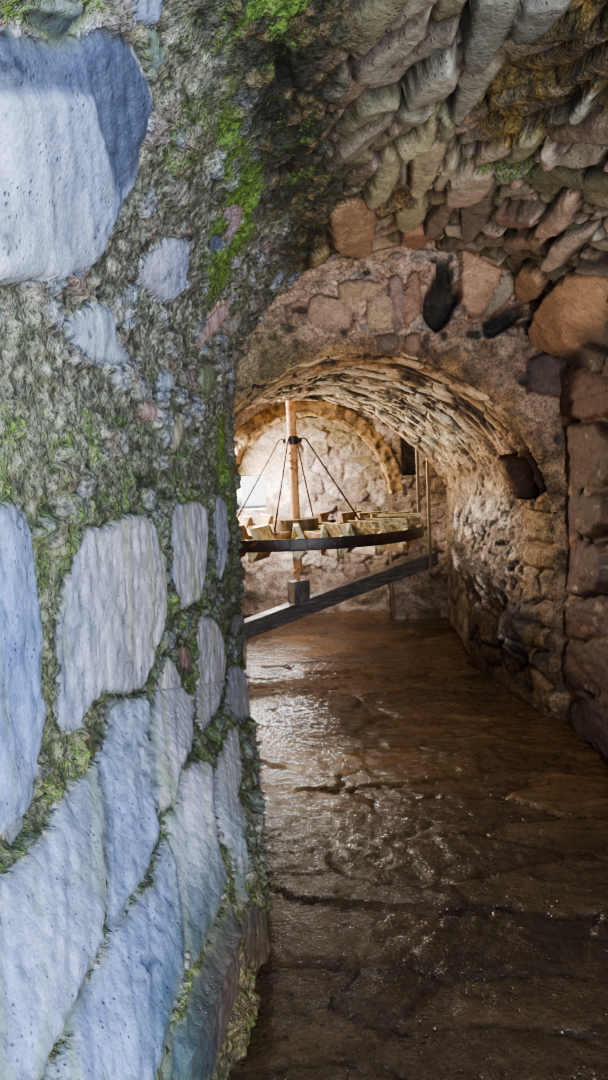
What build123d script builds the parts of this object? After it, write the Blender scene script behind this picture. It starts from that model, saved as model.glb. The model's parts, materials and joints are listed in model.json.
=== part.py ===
from build123d import *
import math
import os

# Stone undercroft of a small watermill with its horizontal wheel.
# Millimetres. +Z up, +Y runs from the mouth of the tail-race passage into the
# wheel chamber, +X to the right of a person who looks in.
# Origin: middle of the whole footprint, on the ground.

# ---------------------------------------------------------------- dimensions
FLOOR = 100.0            # thickness of the flagstone floor
DECK_Z = 2900.0          # underside of the top layer of masonry
TOP = 3200.0             # top of the stonework

Y_FRONT = -3800.0        # mouth of the passage
Y_CROSS = -300.0         # face of the cross wall at the passage's inner end
Y_THROAT = 150.0         # back of the cross wall
Y_CHAMBER = 1200.0       # where the flared vault opens into the chamber
Y_BACK = 2900.0          # chamber back wall face
Y_RECESS = 3400.0        # face of the infill inside the back arch
Y_REAR = 3800.0

X_OUT = 2300.0           # outer faces of the chamber block, left and right
PASS_OUT_L = -1230.0     # outer face of the passage's left wall
PASS_L = -330.0          # passage inner faces
PASS_R = 1500.0
PASS_CX = 585.0          # barrel vault of the passage
PASS_RAD = 915.0
PASS_SPRING = 1855.0
VAULT_T = 300.0          # thickness of the vault shells

NEAR_CX, NEAR_RAD, NEAR_SPRING = 400.0, 1000.0, 1160.0     # arch at the cross wall
FAR_CX, FAR_RAD, FAR_SPRING = -150.0, 1270.0, 820.0       # arch at the chamber
THROAT_SPLIT = 1150.0    # joint between the throat walls and the vault over them

CH_L, CH_R = -1470.0, 1170.0                              # chamber inner faces
CH_CX, CH_RAD, CH_SPRING = -150.0, 1320.0, 1380.0

BACK_CX, BACK_RAD, BACK_SPRING = -150.0, 800.0, 1300.0    # arch in the back wall
BACK_RING = 130.0                                         # depth of its voussoirs

WX, WY, WZ = -150.0, 1500.0, 1065.0    # wheel axis and the plane of the wheel
WHEEL_R = 1000.0                       # outside of the iron hoop
BAND_H, BAND_T = 83.0, 8.0
N_PADDLES = 20
PHASE = 5.6                            # first paddle, degrees from the front
HUB_R, HUB_H = 180.0, 240.0
TENON_R = 120.0
PADDLE_IN, PADDLE_OUT = 650.0, 990.0
SHAFT_R = 37.0
SHAFT_Z0, SHAFT_Z1 = 780.0, 3240.0
SPINDLE_R, SPINDLE_Z1 = 30.0, 3500.0   # free upper end, for the millstone drive
PIVOT_R = 15.0
COLLAR_Z = 1800.0
ROD_R = 7.0
ROD_PHI = -12.4
ROD_FOOT = 540.0

STRAP_X, STRAP_Y = 930.0, 2400.0       # where the sole tree hangs
BEAM_W, BEAM_H = 110.0, 130.0
BEAM_Z_STRAP, BEAM_Z_AXIS = 710.0, 464.0


def rect(x0, x1, y0, y1, mode=Mode.ADD):
    with Locations(((x0 + x1) / 2, (y0 + y1) / 2)):
        Rectangle(x1 - x0, y1 - y0, mode=mode)


def arch_outline(cx, r, spring, foot):
    with BuildLine() as outline:
        Line((cx - r, foot), (cx - r, spring))
        ThreePointArc((cx - r, spring), (cx, spring + r), (cx + r, spring))
        Line((cx + r, spring), (cx + r, foot))
        Line((cx + r, foot), (cx - r, foot))
    make_face(outline.edges())


# Upright planes across the passage: sketch x is world X, sketch y is world Z,
# and a negative extrusion runs into the building.
def across(y):
    return Plane.XZ.offset(-y)


def save(part, label):
    part.label = label
    export_step(part, "parts/" + label + ".step")


os.makedirs("parts", exist_ok=True)

# ------------------------------------------------- the space inside the throat
# One flared vault, from the smaller arch in the cross wall to the wide arch at
# the chamber. It is the tool that hollows every piece around it.
with BuildPart() as throat_space:
    with BuildSketch(across(Y_CROSS)):
        arch_outline(NEAR_CX, NEAR_RAD, NEAR_SPRING, -50)
    with BuildSketch(across(Y_CHAMBER)):
        arch_outline(FAR_CX, FAR_RAD, FAR_SPRING, -50)
    loft(ruled=True)

# The passage walls, floor and vault ------------------------------------------
with BuildPart() as passage_floor:
    with BuildSketch(Plane.XY):
        rect(PASS_L, PASS_R, Y_FRONT, Y_CROSS)
    extrude(amount=FLOOR)
save(passage_floor.part, "passage_floor")

with BuildPart() as passage_left_wall:
    with BuildSketch(Plane.XY):
        rect(PASS_OUT_L, PASS_L, Y_FRONT, Y_CROSS)
    extrude(amount=PASS_SPRING)
save(passage_left_wall.part, "passage_left_wall")

with BuildPart() as passage_right_wall:
    with BuildSketch(Plane.XY):
        rect(PASS_R, X_OUT, Y_FRONT, Y_CROSS)
    extrude(amount=PASS_SPRING)
save(passage_right_wall.part, "passage_right_wall")

# Battered footing along the left wall, widest about half way along.
with BuildPart() as left_wall_footing:
    for y, toe, rise in ((Y_FRONT, -60.0, 800.0), (-2500.0, 20.0, 820.0), (-360.0, -300.0, 300.0)):
        with BuildSketch(across(y)):
            with BuildLine():
                Polyline((PASS_L, FLOOR), (toe, FLOOR), (toe - 12, FLOOR + rise * 0.35),
                         (PASS_L, FLOOR + rise), close=True)
            make_face()
    loft(ruled=True)
save(left_wall_footing.part, "left_wall_footing")

with BuildPart() as passage_vault:
    with BuildSketch(across(Y_FRONT)):
        with Locations((PASS_CX, PASS_SPRING)):
            Circle(PASS_RAD + VAULT_T)
            Circle(PASS_RAD, mode=Mode.SUBTRACT)
        rect(PASS_CX - 1500, PASS_CX + 1500, PASS_SPRING - 1500, PASS_SPRING, mode=Mode.SUBTRACT)
    extrude(amount=-(Y_CROSS - Y_FRONT))
save(passage_vault.part, "passage_vault")

with BuildPart() as passage_left_haunch:
    with BuildSketch(across(Y_FRONT)):
        rect(PASS_OUT_L, PASS_CX, PASS_SPRING, DECK_Z)
        with Locations((PASS_CX, PASS_SPRING)):
            Circle(PASS_RAD + VAULT_T, mode=Mode.SUBTRACT)
    extrude(amount=-(Y_CROSS - Y_FRONT))
save(passage_left_haunch.part, "passage_left_haunch")

with BuildPart() as passage_right_haunch:
    with BuildSketch(across(Y_FRONT)):
        rect(PASS_CX, X_OUT, PASS_SPRING, DECK_Z)
        with Locations((PASS_CX, PASS_SPRING)):
            Circle(PASS_RAD + VAULT_T, mode=Mode.SUBTRACT)
    extrude(amount=-(Y_CROSS - Y_FRONT))
save(passage_right_haunch.part, "passage_right_haunch")

with BuildPart() as passage_deck:
    with BuildSketch(across(Y_FRONT)):
        rect(PASS_OUT_L, X_OUT, DECK_Z, TOP)
        with Locations((PASS_CX, PASS_SPRING)):
            Circle(PASS_RAD + VAULT_T, mode=Mode.SUBTRACT)
    extrude(amount=-(Y_CROSS - Y_FRONT))
save(passage_deck.part, "passage_deck")

# The cross wall with the near arch --------------------------------------------
with BuildPart() as cross_wall_left:
    with BuildSketch(Plane.XY):
        rect(-X_OUT, 300, Y_CROSS, Y_THROAT)
    extrude(amount=NEAR_SPRING)
    add(throat_space.part, mode=Mode.SUBTRACT)
save(cross_wall_left.part, "cross_wall_left")

with BuildPart() as cross_wall_right:
    with BuildSketch(Plane.XY):
        rect(300, X_OUT, Y_CROSS, Y_THROAT)
    extrude(amount=NEAR_SPRING)
    add(throat_space.part, mode=Mode.SUBTRACT)
save(cross_wall_right.part, "cross_wall_right")

# Over the springing: the wall head. On the right its lowest course holds the
# beam socket.
SOCKET = (1200.0, 1660.0, -130.0, 110.0, 1335.0, 1610.0)
with BuildPart() as cross_wall_head:
    with BuildSketch(Plane.XY.offset(NEAR_SPRING)):
        rect(-X_OUT, X_OUT, Y_CROSS, Y_THROAT)
    extrude(amount=DECK_Z - NEAR_SPRING)
    with BuildSketch(Plane.XY.offset(NEAR_SPRING)):
        rect(950, X_OUT, Y_CROSS, Y_THROAT)
    extrude(amount=SOCKET[5] - NEAR_SPRING, mode=Mode.SUBTRACT)
    add(throat_space.part, mode=Mode.SUBTRACT)
save(cross_wall_head.part, "cross_wall_head")

with BuildPart() as cross_wall_socket_course:
    with BuildSketch(Plane.XY.offset(NEAR_SPRING)):
        rect(950, X_OUT, Y_CROSS, Y_THROAT)
    extrude(amount=SOCKET[5] - NEAR_SPRING)
    add(throat_space.part, mode=Mode.SUBTRACT)
    with BuildSketch(Plane.XY.offset(SOCKET[4])):
        rect(SOCKET[0], SOCKET[1], SOCKET[2], SOCKET[3])
    extrude(amount=SOCKET[5] - SOCKET[4], mode=Mode.SUBTRACT)
save(cross_wall_socket_course.part, "cross_wall_socket_course")

# The flared throat --------------------------------------------------------------
with BuildPart() as throat_left_wall:
    with BuildSketch(Plane.XY):
        rect(-X_OUT, 0, Y_THROAT, Y_CHAMBER)
    extrude(amount=THROAT_SPLIT)
    add(throat_space.part, mode=Mode.SUBTRACT)
save(throat_left_wall.part, "throat_left_wall")

with BuildPart() as throat_right_wall:
    with BuildSketch(Plane.XY):
        rect(0, X_OUT, Y_THROAT, Y_CHAMBER)
    extrude(amount=THROAT_SPLIT)
    add(throat_space.part, mode=Mode.SUBTRACT)
save(throat_right_wall.part, "throat_right_wall")

with BuildPart() as throat_vault:
    with BuildSketch(Plane.XY.offset(THROAT_SPLIT)):
        rect(-X_OUT, X_OUT, Y_THROAT, Y_CHAMBER)
    extrude(amount=DECK_Z - THROAT_SPLIT)
    add(throat_space.part, mode=Mode.SUBTRACT)
save(throat_vault.part, "throat_vault")


def throat_x(y, side):
    f = (y - Y_CROSS) / (Y_CHAMBER - Y_CROSS)
    near = NEAR_CX + side * NEAR_RAD
    far = FAR_CX + side * FAR_RAD
    return near + (far - near) * f


with BuildPart() as throat_floor:
    with BuildSketch(Plane.XY):
        with BuildLine():
            Polyline((throat_x(Y_CROSS, -1), Y_CROSS), (throat_x(Y_CROSS, 1), Y_CROSS),
                     (throat_x(Y_CHAMBER, 1), Y_CHAMBER), (throat_x(Y_CHAMBER, -1), Y_CHAMBER), close=True)
        make_face()
    extrude(amount=FLOOR)
save(throat_floor.part, "throat_floor")

# The wheel chamber ------------------------------------------------------------------
with BuildPart() as chamber_floor:
    with BuildSketch(Plane.XY):
        rect(CH_L, CH_R, Y_CHAMBER, Y_BACK)
        rect(BACK_CX - BACK_RAD, BACK_CX + BACK_RAD, Y_BACK, Y_RECESS)
    extrude(amount=FLOOR)
save(chamber_floor.part, "chamber_floor")

with BuildPart() as chamber_left_wall:
    with BuildSketch(Plane.XY):
        rect(-X_OUT, CH_L, Y_CHAMBER, Y_BACK)
    extrude(amount=CH_SPRING)
save(chamber_left_wall.part, "chamber_left_wall")

with BuildPart() as chamber_right_wall:
    with BuildSketch(Plane.XY):
        rect(CH_R, X_OUT, Y_CHAMBER, Y_BACK)
    extrude(amount=CH_SPRING)
save(chamber_right_wall.part, "chamber_right_wall")

SLOT = (STRAP_X - 75.0, STRAP_X + 75.0, STRAP_Y - 75.0, STRAP_Y + 75.0)
HOLE_R = 80.0            # bore for the shaft bush
with BuildPart() as chamber_vault:
    with BuildSketch(across(Y_CHAMBER)):
        with Locations((CH_CX, CH_SPRING)):
            Circle(CH_RAD + VAULT_T)
            Circle(CH_RAD, mode=Mode.SUBTRACT)
        rect(CH_CX - 2000, CH_CX + 2000, CH_SPRING - 2000, CH_SPRING, mode=Mode.SUBTRACT)
    extrude(amount=-(Y_BACK - Y_CHAMBER))
    with BuildSketch(Plane.XY.offset(CH_SPRING)):
        with Locations((WX, WY)):
            Circle(HOLE_R)
        rect(*SLOT)
    extrude(amount=2000, mode=Mode.SUBTRACT)
save(chamber_vault.part, "chamber_vault")

with BuildPart() as chamber_left_haunch:
    with BuildSketch(across(Y_CHAMBER)):
        rect(-X_OUT, CH_CX, CH_SPRING, DECK_Z)
        with Locations((CH_CX, CH_SPRING)):
            Circle(CH_RAD + VAULT_T, mode=Mode.SUBTRACT)
    extrude(amount=-(Y_BACK - Y_CHAMBER))
save(chamber_left_haunch.part, "chamber_left_haunch")

with BuildPart() as chamber_right_haunch:
    with BuildSketch(across(Y_CHAMBER)):
        rect(CH_CX, X_OUT, CH_SPRING, DECK_Z)
        with Locations((CH_CX, CH_SPRING)):
            Circle(CH_RAD + VAULT_T, mode=Mode.SUBTRACT)
    extrude(amount=-(Y_BACK - Y_CHAMBER))
    with BuildSketch(Plane.XY.offset(CH_SPRING)):
        rect(*SLOT)
    extrude(amount=2000, mode=Mode.SUBTRACT)
save(chamber_right_haunch.part, "chamber_right_haunch")

# The back wall with its arched recess -------------------------------------------------
with BuildPart() as back_wall_left:
    with BuildSketch(Plane.XY):
        rect(-X_OUT, BACK_CX - BACK_RAD, Y_BACK, Y_REAR)
    extrude(amount=BACK_SPRING)
save(back_wall_left.part, "back_wall_left")

with BuildPart() as back_wall_right:
    with BuildSketch(Plane.XY):
        rect(BACK_CX + BACK_RAD, X_OUT, Y_BACK, Y_REAR)
    extrude(amount=BACK_SPRING)
save(back_wall_right.part, "back_wall_right")

NICHE = (775.0, 940.0, 1480.0, 1900.0, 320.0)
with BuildPart() as back_wall_head:
    with BuildSketch(across(Y_BACK)):
        rect(-X_OUT, X_OUT, BACK_SPRING, DECK_Z)
        with Locations((BACK_CX, BACK_SPRING)):
            Circle(BACK_RAD + BACK_RING, mode=Mode.SUBTRACT)
    extrude(amount=-(Y_REAR - Y_BACK))
    with BuildSketch(across(Y_BACK)):
        rect(NICHE[0], NICHE[1], NICHE[2], NICHE[3])
    extrude(amount=-NICHE[4], mode=Mode.SUBTRACT)
save(back_wall_head.part, "back_wall_head")

with BuildPart() as back_arch_ring:
    with BuildSketch(across(Y_BACK - 20)):
        with Locations((BACK_CX, BACK_SPRING)):
            Circle(BACK_RAD + BACK_RING)
            Circle(BACK_RAD, mode=Mode.SUBTRACT)
        rect(BACK_CX - 1200, BACK_CX + 1200, BACK_SPRING - 1200, BACK_SPRING, mode=Mode.SUBTRACT)
    extrude(amount=-(Y_REAR - Y_BACK + 20))
save(back_arch_ring.part, "back_arch_ring")

# Infill of the recess, with the square hole that the water jet comes through.
INLET = (-900.0, -600.0, 1180.0, 1530.0)
with BuildPart() as back_recess_panel:
    with BuildSketch(across(Y_RECESS)):
        arch_outline(BACK_CX, BACK_RAD, BACK_SPRING, 0)
        rect(*INLET, mode=Mode.SUBTRACT)
    extrude(amount=-(Y_REAR - Y_RECESS))
save(back_recess_panel.part, "back_recess_panel")

# Top layer over the chamber block
with BuildPart() as chamber_deck:
    with BuildSketch(Plane.XY.offset(DECK_Z)):
        rect(-X_OUT, X_OUT, Y_CROSS, Y_REAR)
    extrude(amount=TOP - DECK_Z)
    with BuildSketch(across(Y_CHAMBER)):
        with Locations((CH_CX, CH_SPRING)):
            Circle(CH_RAD + VAULT_T)
    extrude(amount=-(Y_BACK - Y_CHAMBER), mode=Mode.SUBTRACT)
    with BuildSketch(Plane.XY.offset(DECK_Z)):
        with Locations((WX, WY)):
            Circle(HOLE_R)
        rect(*SLOT)
    extrude(amount=TOP - DECK_Z, mode=Mode.SUBTRACT)
save(chamber_deck.part, "chamber_deck")

with BuildPart() as deck_bush:
    with BuildSketch(Plane.XY.offset(3010)):
        with Locations((WX, WY)):
            Circle(HOLE_R)
            Circle(SHAFT_R + 1.0, mode=Mode.SUBTRACT)
    extrude(amount=TOP - 3010)
    with BuildSketch(Plane.XY.offset(TOP)):
        with Locations((WX, WY)):
            Circle(HOLE_R + 45)
            Circle(SHAFT_R + 1.0, mode=Mode.SUBTRACT)
    extrude(amount=30)
save(deck_bush.part, "deck_bush")

# Bearing beam under the wheel -----------------------------------------------------------
BX, BY, BZ = WX - STRAP_X, WY - STRAP_Y, BEAM_Z_AXIS - BEAM_Z_STRAP
BLEN = math.sqrt(BX * BX + BY * BY + BZ * BZ)
UX, UY, UZ = BX / BLEN, BY / BLEN, BZ / BLEN
HLEN = math.hypot(BX, BY)
SIDE = Vector(-BY / HLEN, BX / HLEN, 0)          # level, square to the beam
BEAM_PLANE = Plane(
    origin=(STRAP_X - UX * 110, STRAP_Y - UY * 110, BEAM_Z_STRAP - UZ * 110),
    x_dir=SIDE, z_dir=Vector(UX, UY, UZ))
with BuildPart() as sole_tree:
    with BuildSketch(BEAM_PLANE):
        RectangleRounded(BEAM_W, BEAM_H, 12)
    extrude(amount=110 + BLEN * 1.62)
save(sole_tree.part, "sole_tree")

PAD_X, PAD_Y = WX + BX * 0.55, WY + BY * 0.55
with BuildPart() as sole_tree_block:
    with BuildSketch(Plane.XY.offset(FLOOR)):
        with Locations((PAD_X, PAD_Y)):
            Rectangle(340, 300, rotation=40)
    extrude(amount=235)
    add(sole_tree.part, mode=Mode.SUBTRACT)
save(sole_tree_block.part, "sole_tree_block")

STEP_TOP = 690.0
with BuildPart() as footstep_bearing:
    with BuildSketch(Plane.XY.offset(BEAM_Z_AXIS)):
        with Locations((WX, WY)):
            Rectangle(100, 150, rotation=math.degrees(math.atan2(BY, BX)) + 90)
    extrude(amount=STEP_TOP - BEAM_Z_AXIS)
    add(sole_tree.part, mode=Mode.SUBTRACT)
    with BuildSketch(Plane.XY.offset(STEP_TOP)):
        with Locations((WX, WY)):
            Circle(PIVOT_R + 1.0)
    extrude(amount=-60, mode=Mode.SUBTRACT)
save(footstep_bearing.part, "footstep_bearing")

# Strap loop that carries the free end of the beam and goes up through the deck.
LOOP_IN, STRAP_T, STRAP_W = 120.0, 8.0, 34.0
LOOP_Z0 = BEAM_Z_STRAP - 68.0 / math.cos(math.asin(abs(UZ))) - 8
LOOP_Z1 = TOP + 78.0
STRAP_PLANE = Plane(origin=(STRAP_X, STRAP_Y, 0), x_dir=SIDE, z_dir=Vector(UX, UY, 0).normalized())
with BuildPart() as lightening_straps:
    with BuildSketch(STRAP_PLANE.offset(-STRAP_W / 2)) as loop_sketch:
        down = 1.0 if STRAP_PLANE.y_dir.Z > 0 else -1.0
        zc = (LOOP_Z0 + LOOP_Z1) / 2 * down
        with Locations((0, zc)):
            Rectangle(LOOP_IN + 2 * STRAP_T, LOOP_Z1 - LOOP_Z0)
            Rectangle(LOOP_IN, LOOP_Z1 - LOOP_Z0 - 2 * STRAP_T, mode=Mode.SUBTRACT)
    extrude(amount=STRAP_W)
save(lightening_straps.part, "lightening_straps")

with BuildPart() as lightening_bar:
    with BuildSketch(Plane.XY.offset(TOP)):
        with Locations((STRAP_X, STRAP_Y)):
            Rectangle(300, 70, rotation=math.degrees(math.atan2(BY, BX)))
    extrude(amount=70)
save(lightening_bar.part, "lightening_bar")

# ------------------------------------------------------------------------- the wheel
with BuildPart() as wheel_shaft:
    with BuildSketch(Plane.XY.offset(SHAFT_Z0)):
        with Locations((WX, WY)):
            Circle(SHAFT_R)
    extrude(amount=SHAFT_Z1 - SHAFT_Z0)
    with BuildSketch(Plane.XY.offset(SHAFT_Z1)):
        with Locations((WX, WY)):
            Circle(SPINDLE_R)
    extrude(amount=SPINDLE_Z1 - SHAFT_Z1)
save(wheel_shaft.part, "wheel_shaft")

with BuildPart() as shaft_pivot:
    with BuildSketch(Plane.XY.offset(STEP_TOP - 59)):
        with Locations((WX, WY)):
            Circle(PIVOT_R)
    extrude(amount=SHAFT_Z0 - (STEP_TOP - 59))
    with BuildSketch(Plane.XY.offset(SHAFT_Z0 - 20)):
        with Locations((WX, WY)):
            Circle(46)
    extrude(amount=20)
save(shaft_pivot.part, "shaft_pivot")

# Clamped splice in the shaft above the wheel
with BuildPart() as splice_bands:
    for z in (1575.0, 1630.0, 1690.0):
        with BuildSketch(Plane.XY.offset(z)):
            with Locations((WX, WY)):
                Circle(SHAFT_R + 6)
                Circle(SHAFT_R, mode=Mode.SUBTRACT)
        extrude(amount=20)
save(splice_bands.part, "splice_bands")


def polar(radius, phi, z):
    a = math.radians(phi)
    return (WX + radius * math.sin(a), WY - radius * math.cos(a), z)


# Collar with four ears for the tie rods
with BuildPart() as rod_collar:
    with BuildSketch(Plane.XY.offset(COLLAR_Z - 32)):
        with Locations((WX, WY)):
            Circle(SHAFT_R + 13)
            Circle(SHAFT_R, mode=Mode.SUBTRACT)
    extrude(amount=64)
    for k in range(4):
        c = polar(60, ROD_PHI + 90 * k, 0)
        with BuildSketch(Plane.XY.offset(COLLAR_Z - 18)):
            with Locations((c[0], c[1])):
                Rectangle(12, 36, rotation=ROD_PHI + 90 * k)
        extrude(amount=36)
save(rod_collar.part, "rod_collar")

# Tie rods: out of the ears, one short bend, then straight to the paddle stems.
ROD_TOP_R, ROD_TOP_Z = 92.0, COLLAR_Z + 12.0
ROD_FOOT_Z = WZ + 61.0
with BuildPart() as tie_rods:
    for k in range(4):
        phi = ROD_PHI + 90 * k
        pts = [polar(82, phi, ROD_TOP_Z + 4), polar(110, phi, ROD_TOP_Z - 6), polar(ROD_FOOT, phi, ROD_FOOT_Z)]
        with BuildLine() as rod_path:
            FilletPolyline(*pts, radius=16)
        start = rod_path.wires()[0]
        with BuildSketch(Plane(origin=start @ 0, z_dir=start % 0)):
            Circle(ROD_R)
        sweep(path=start)
save(tie_rods.part, "tie_rods")

with BuildPart() as rod_feet:
    for k in range(4):
        phi = ROD_PHI + 90 * k
        c = polar(ROD_FOOT, phi, 0)
        with BuildSketch(Plane.XY.offset(WZ + 43.0)):
            with Locations((c[0], c[1])):
                Rectangle(58, 90, rotation=phi)
        extrude(amount=12)
save(rod_feet.part, "rod_feet")

with BuildPart() as wheel_hub:
    with BuildSketch(Plane.XY.offset(WZ - HUB_H / 2)):
        with Locations((WX, WY)):
            Circle(HUB_R)
            Circle(SHAFT_R, mode=Mode.SUBTRACT)
    extrude(amount=HUB_H)
    with BuildSketch(Plane.XY.offset(WZ - 30)):
        for k in range(N_PADDLES):
            c = polar((TENON_R + HUB_R + 20) / 2, PHASE + 360.0 / N_PADDLES * k, 0)
            with Locations((c[0], c[1])):
                Rectangle(26, HUB_R + 20 - TENON_R, rotation=PHASE + 360.0 / N_PADDLES * k)
    extrude(amount=60, mode=Mode.SUBTRACT)
save(wheel_hub.part, "wheel_hub")

# One carved paddle, pointing to the front (-Y) from the wheel centre: a tenon,
# a stem that widens outwards, and a scoop with a folded section whose hollow
# side takes the jet; a low cheek closes its outer end.
SCOOP = [(-30.0, 122.0), (4.0, 122.0), (52.0, 8.0), (-10.0, -112.0), (-46.0, -112.0), (10.0, 6.0)]
CHEEK = [(24.0, 64.0), (52.0, 8.0), (-10.0, -112.0), (-46.0, -112.0), (-50.0, -8.0), (-24.0, 40.0)]
NECK = [(-30.0, 100.0), (4.0, 100.0), (52.0, 8.0), (-10.0, -104.0), (-46.0, -104.0), (-46.0, 20.0)]
with BuildPart() as paddle:
    with BuildSketch(Plane.XZ.offset(TENON_R)):
        Rectangle(26, 60)
    extrude(amount=HUB_R + 6 - TENON_R)
    with BuildSketch(Plane.XZ.offset(HUB_R + 1.5)):
        Rectangle(34, 66)
    with BuildSketch(Plane.XZ.offset(PADDLE_IN + 6)):
        Rectangle(48, 86)
    loft()
    with BuildSketch(Plane.XZ.offset(PADDLE_IN)):
        with BuildLine():
            Polyline(*NECK, close=True)
        make_face()
    extrude(amount=34)
    with BuildSketch(Plane.XZ.offset(PADDLE_IN)):
        with BuildLine():
            Polyline(*SCOOP, close=True)
        make_face()
    extrude(amount=PADDLE_OUT - PADDLE_IN)
    with BuildSketch(Plane.XZ.offset(PADDLE_OUT - 30)):
        with BuildLine():
            Polyline(*CHEEK, close=True)
        make_face()
    extrude(amount=30)

with BuildPart() as paddles:
    with Locations(*[Location((WX, WY, WZ), (0, 0, PHASE + 360.0 / N_PADDLES * k)) for k in range(N_PADDLES)]):
        add(paddle.part)
save(paddles.part, "paddles")

with BuildPart() as rim_band:
    with BuildSketch(Plane.XY.offset(WZ - BAND_H / 2)):
        with Locations((WX, WY)):
            Circle(WHEEL_R)
            Circle(WHEEL_R - BAND_T, mode=Mode.SUBTRACT)
    extrude(amount=BAND_H)
save(rim_band.part, "rim_band")

# Lap joint of the hoop
with BuildPart() as band_lap_plate:
    with BuildSketch(Plane.XY.offset(WZ - 39)):
        with Locations((WX, WY)):
            Circle(WHEEL_R + 6)
            Circle(WHEEL_R, mode=Mode.SUBTRACT)
        with BuildLine():
            Polyline((WX, WY), polar(1400, 1.7, 0)[:2], polar(1400, 8.6, 0)[:2], close=True)
        make_face(mode=Mode.INTERSECT)
    extrude(amount=78)
save(band_lap_plate.part, "band_lap_plate")

for item in (paddle, paddles, tie_rods):
    print(len(item.part.solids()), round(item.part.volume))
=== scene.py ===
import bpy
import bmesh
import json
import math
import time
import numpy as np
from mathutils import Matrix, Vector
from mathutils.geometry import delaunay_2d_cdt


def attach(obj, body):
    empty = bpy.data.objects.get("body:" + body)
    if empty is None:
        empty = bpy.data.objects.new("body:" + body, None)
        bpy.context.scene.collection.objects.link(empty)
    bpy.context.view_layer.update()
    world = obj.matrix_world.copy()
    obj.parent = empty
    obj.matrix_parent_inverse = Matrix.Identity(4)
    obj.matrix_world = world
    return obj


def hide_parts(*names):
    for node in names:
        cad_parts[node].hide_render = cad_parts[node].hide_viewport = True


# Watermill undercroft with its horizontal wheel. Metres, same frame as the CAD:
# +Z up, +Y from the passage mouth into the wheel chamber.

T0 = time.time()
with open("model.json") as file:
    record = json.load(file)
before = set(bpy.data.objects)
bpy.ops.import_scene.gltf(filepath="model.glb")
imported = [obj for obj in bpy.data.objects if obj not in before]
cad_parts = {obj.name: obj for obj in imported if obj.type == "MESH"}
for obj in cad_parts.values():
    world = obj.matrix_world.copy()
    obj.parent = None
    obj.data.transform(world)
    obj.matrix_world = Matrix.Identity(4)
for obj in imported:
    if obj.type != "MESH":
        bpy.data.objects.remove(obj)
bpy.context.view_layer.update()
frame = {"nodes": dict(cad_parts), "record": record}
NODES = frame["nodes"]


def clock(what):
    print("[%5.1f s] %s" % (time.time() - T0, what))


# ------------------------------------------------------------------ sizes, as built
FLOOR = 0.10
DECK_Z, TOP = 2.9, 3.2
Y_FRONT, Y_CROSS, Y_THROAT, Y_CHAMBER = -3.8, -0.3, 0.15, 1.2
Y_BACK, Y_RECESS, Y_REAR = 2.9, 3.4, 3.8
X_OUT, PASS_OUT_L, PASS_L, PASS_R = 2.3, -1.23, -0.33, 1.5
PASS_CX, PASS_RAD, PASS_SPRING, VAULT_T = 0.585, 0.915, 1.855, 0.3
NEAR = (0.40, 1.00, 1.16)
FAR = (-0.15, 1.27, 0.82)
THROAT_SPLIT = 1.15
CH_L, CH_R, CH_CX, CH_RAD, CH_SPRING = -1.47, 1.17, -0.15, 1.32, 1.38
BACK_CX, BACK_RAD, BACK_SPRING, BACK_RING = -0.15, 0.8, 1.3, 0.13
WX, WY, WZ = -0.15, 1.5, 1.065
SOCKET = (1.2, 1.66, -0.13, 0.11, 1.335, 1.61)
NICHE = (0.775, 0.94, 1.48, 1.9, 0.32)
INLET = (-0.9, -0.6, 1.18, 1.53)
HOLE_R = 0.08
SLOT = (0.855, 1.005, 2.325, 2.475)

# ------------------------------------------------------------------ the photo's camera
CAM = np.array([0.35, -4.8, 1.55])
FOCAL = 800.0


def camera_axes(yaw=4.0, pitch=4.86, roll=2.4):
    a, p, r = (math.radians(t) for t in (yaw, pitch, roll))
    fwd = np.array([-math.sin(a) * math.cos(p), math.cos(a) * math.cos(p), -math.sin(p)])
    right = np.array([math.cos(a), math.sin(a), 0.0])
    up = np.cross(right, fwd)
    return fwd, right * math.cos(r) - up * math.sin(r), up * math.cos(r) + right * math.sin(r)


FWD, RIGHT, UP = camera_axes()


def project(p):
    d = p - CAM
    z = np.maximum(d @ FWD, 0.05)
    return np.stack([304 + FOCAL * (d @ RIGHT) / z, 540 - FOCAL * (d @ UP) / z], -1)


def rays(px):
    px = np.asarray(px, float)
    d = FWD + np.outer((px[:, 0] - 304) / FOCAL, RIGHT) + np.outer((540 - px[:, 1]) / FOCAL, UP)
    return d / np.linalg.norm(d, axis=1, keepdims=True)


cam_data = bpy.data.cameras.new("photo_camera")
cam = bpy.data.objects.new("photo_camera", cam_data)
bpy.context.scene.collection.objects.link(cam)
cam_data.sensor_fit = "AUTO"
cam_data.sensor_width = 36.0
cam_data.lens = 36.0 * FOCAL / 1080.0
cam_data.clip_start = 0.02
m = Matrix.Identity(4)
for i, axis in enumerate((RIGHT, UP, -FWD)):
    for j in range(3):
        m[j][i] = float(axis[j])
for j in range(3):
    m[j][3] = float(CAM[j])
cam.matrix_world = m
bpy.context.scene.camera = cam

# ------------------------------------------------------------------ noise


def rnd(ix, iy, iz, seed):
    h = (ix.astype(np.int64) * 0x8DA6B343 + iy.astype(np.int64) * 0xD8163841
         + iz.astype(np.int64) * 0xCB1AB31F + seed * 0x9E3779B9) & 0xFFFFFFFF
    h = ((h ^ (h >> 15)) * 0x2C1B3C6D) & 0xFFFFFFFF
    h = ((h ^ (h >> 12)) * 0x297A2D39) & 0xFFFFFFFF
    h = h ^ (h >> 15)
    return h.astype(np.float64) / 4294967296.0


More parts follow.
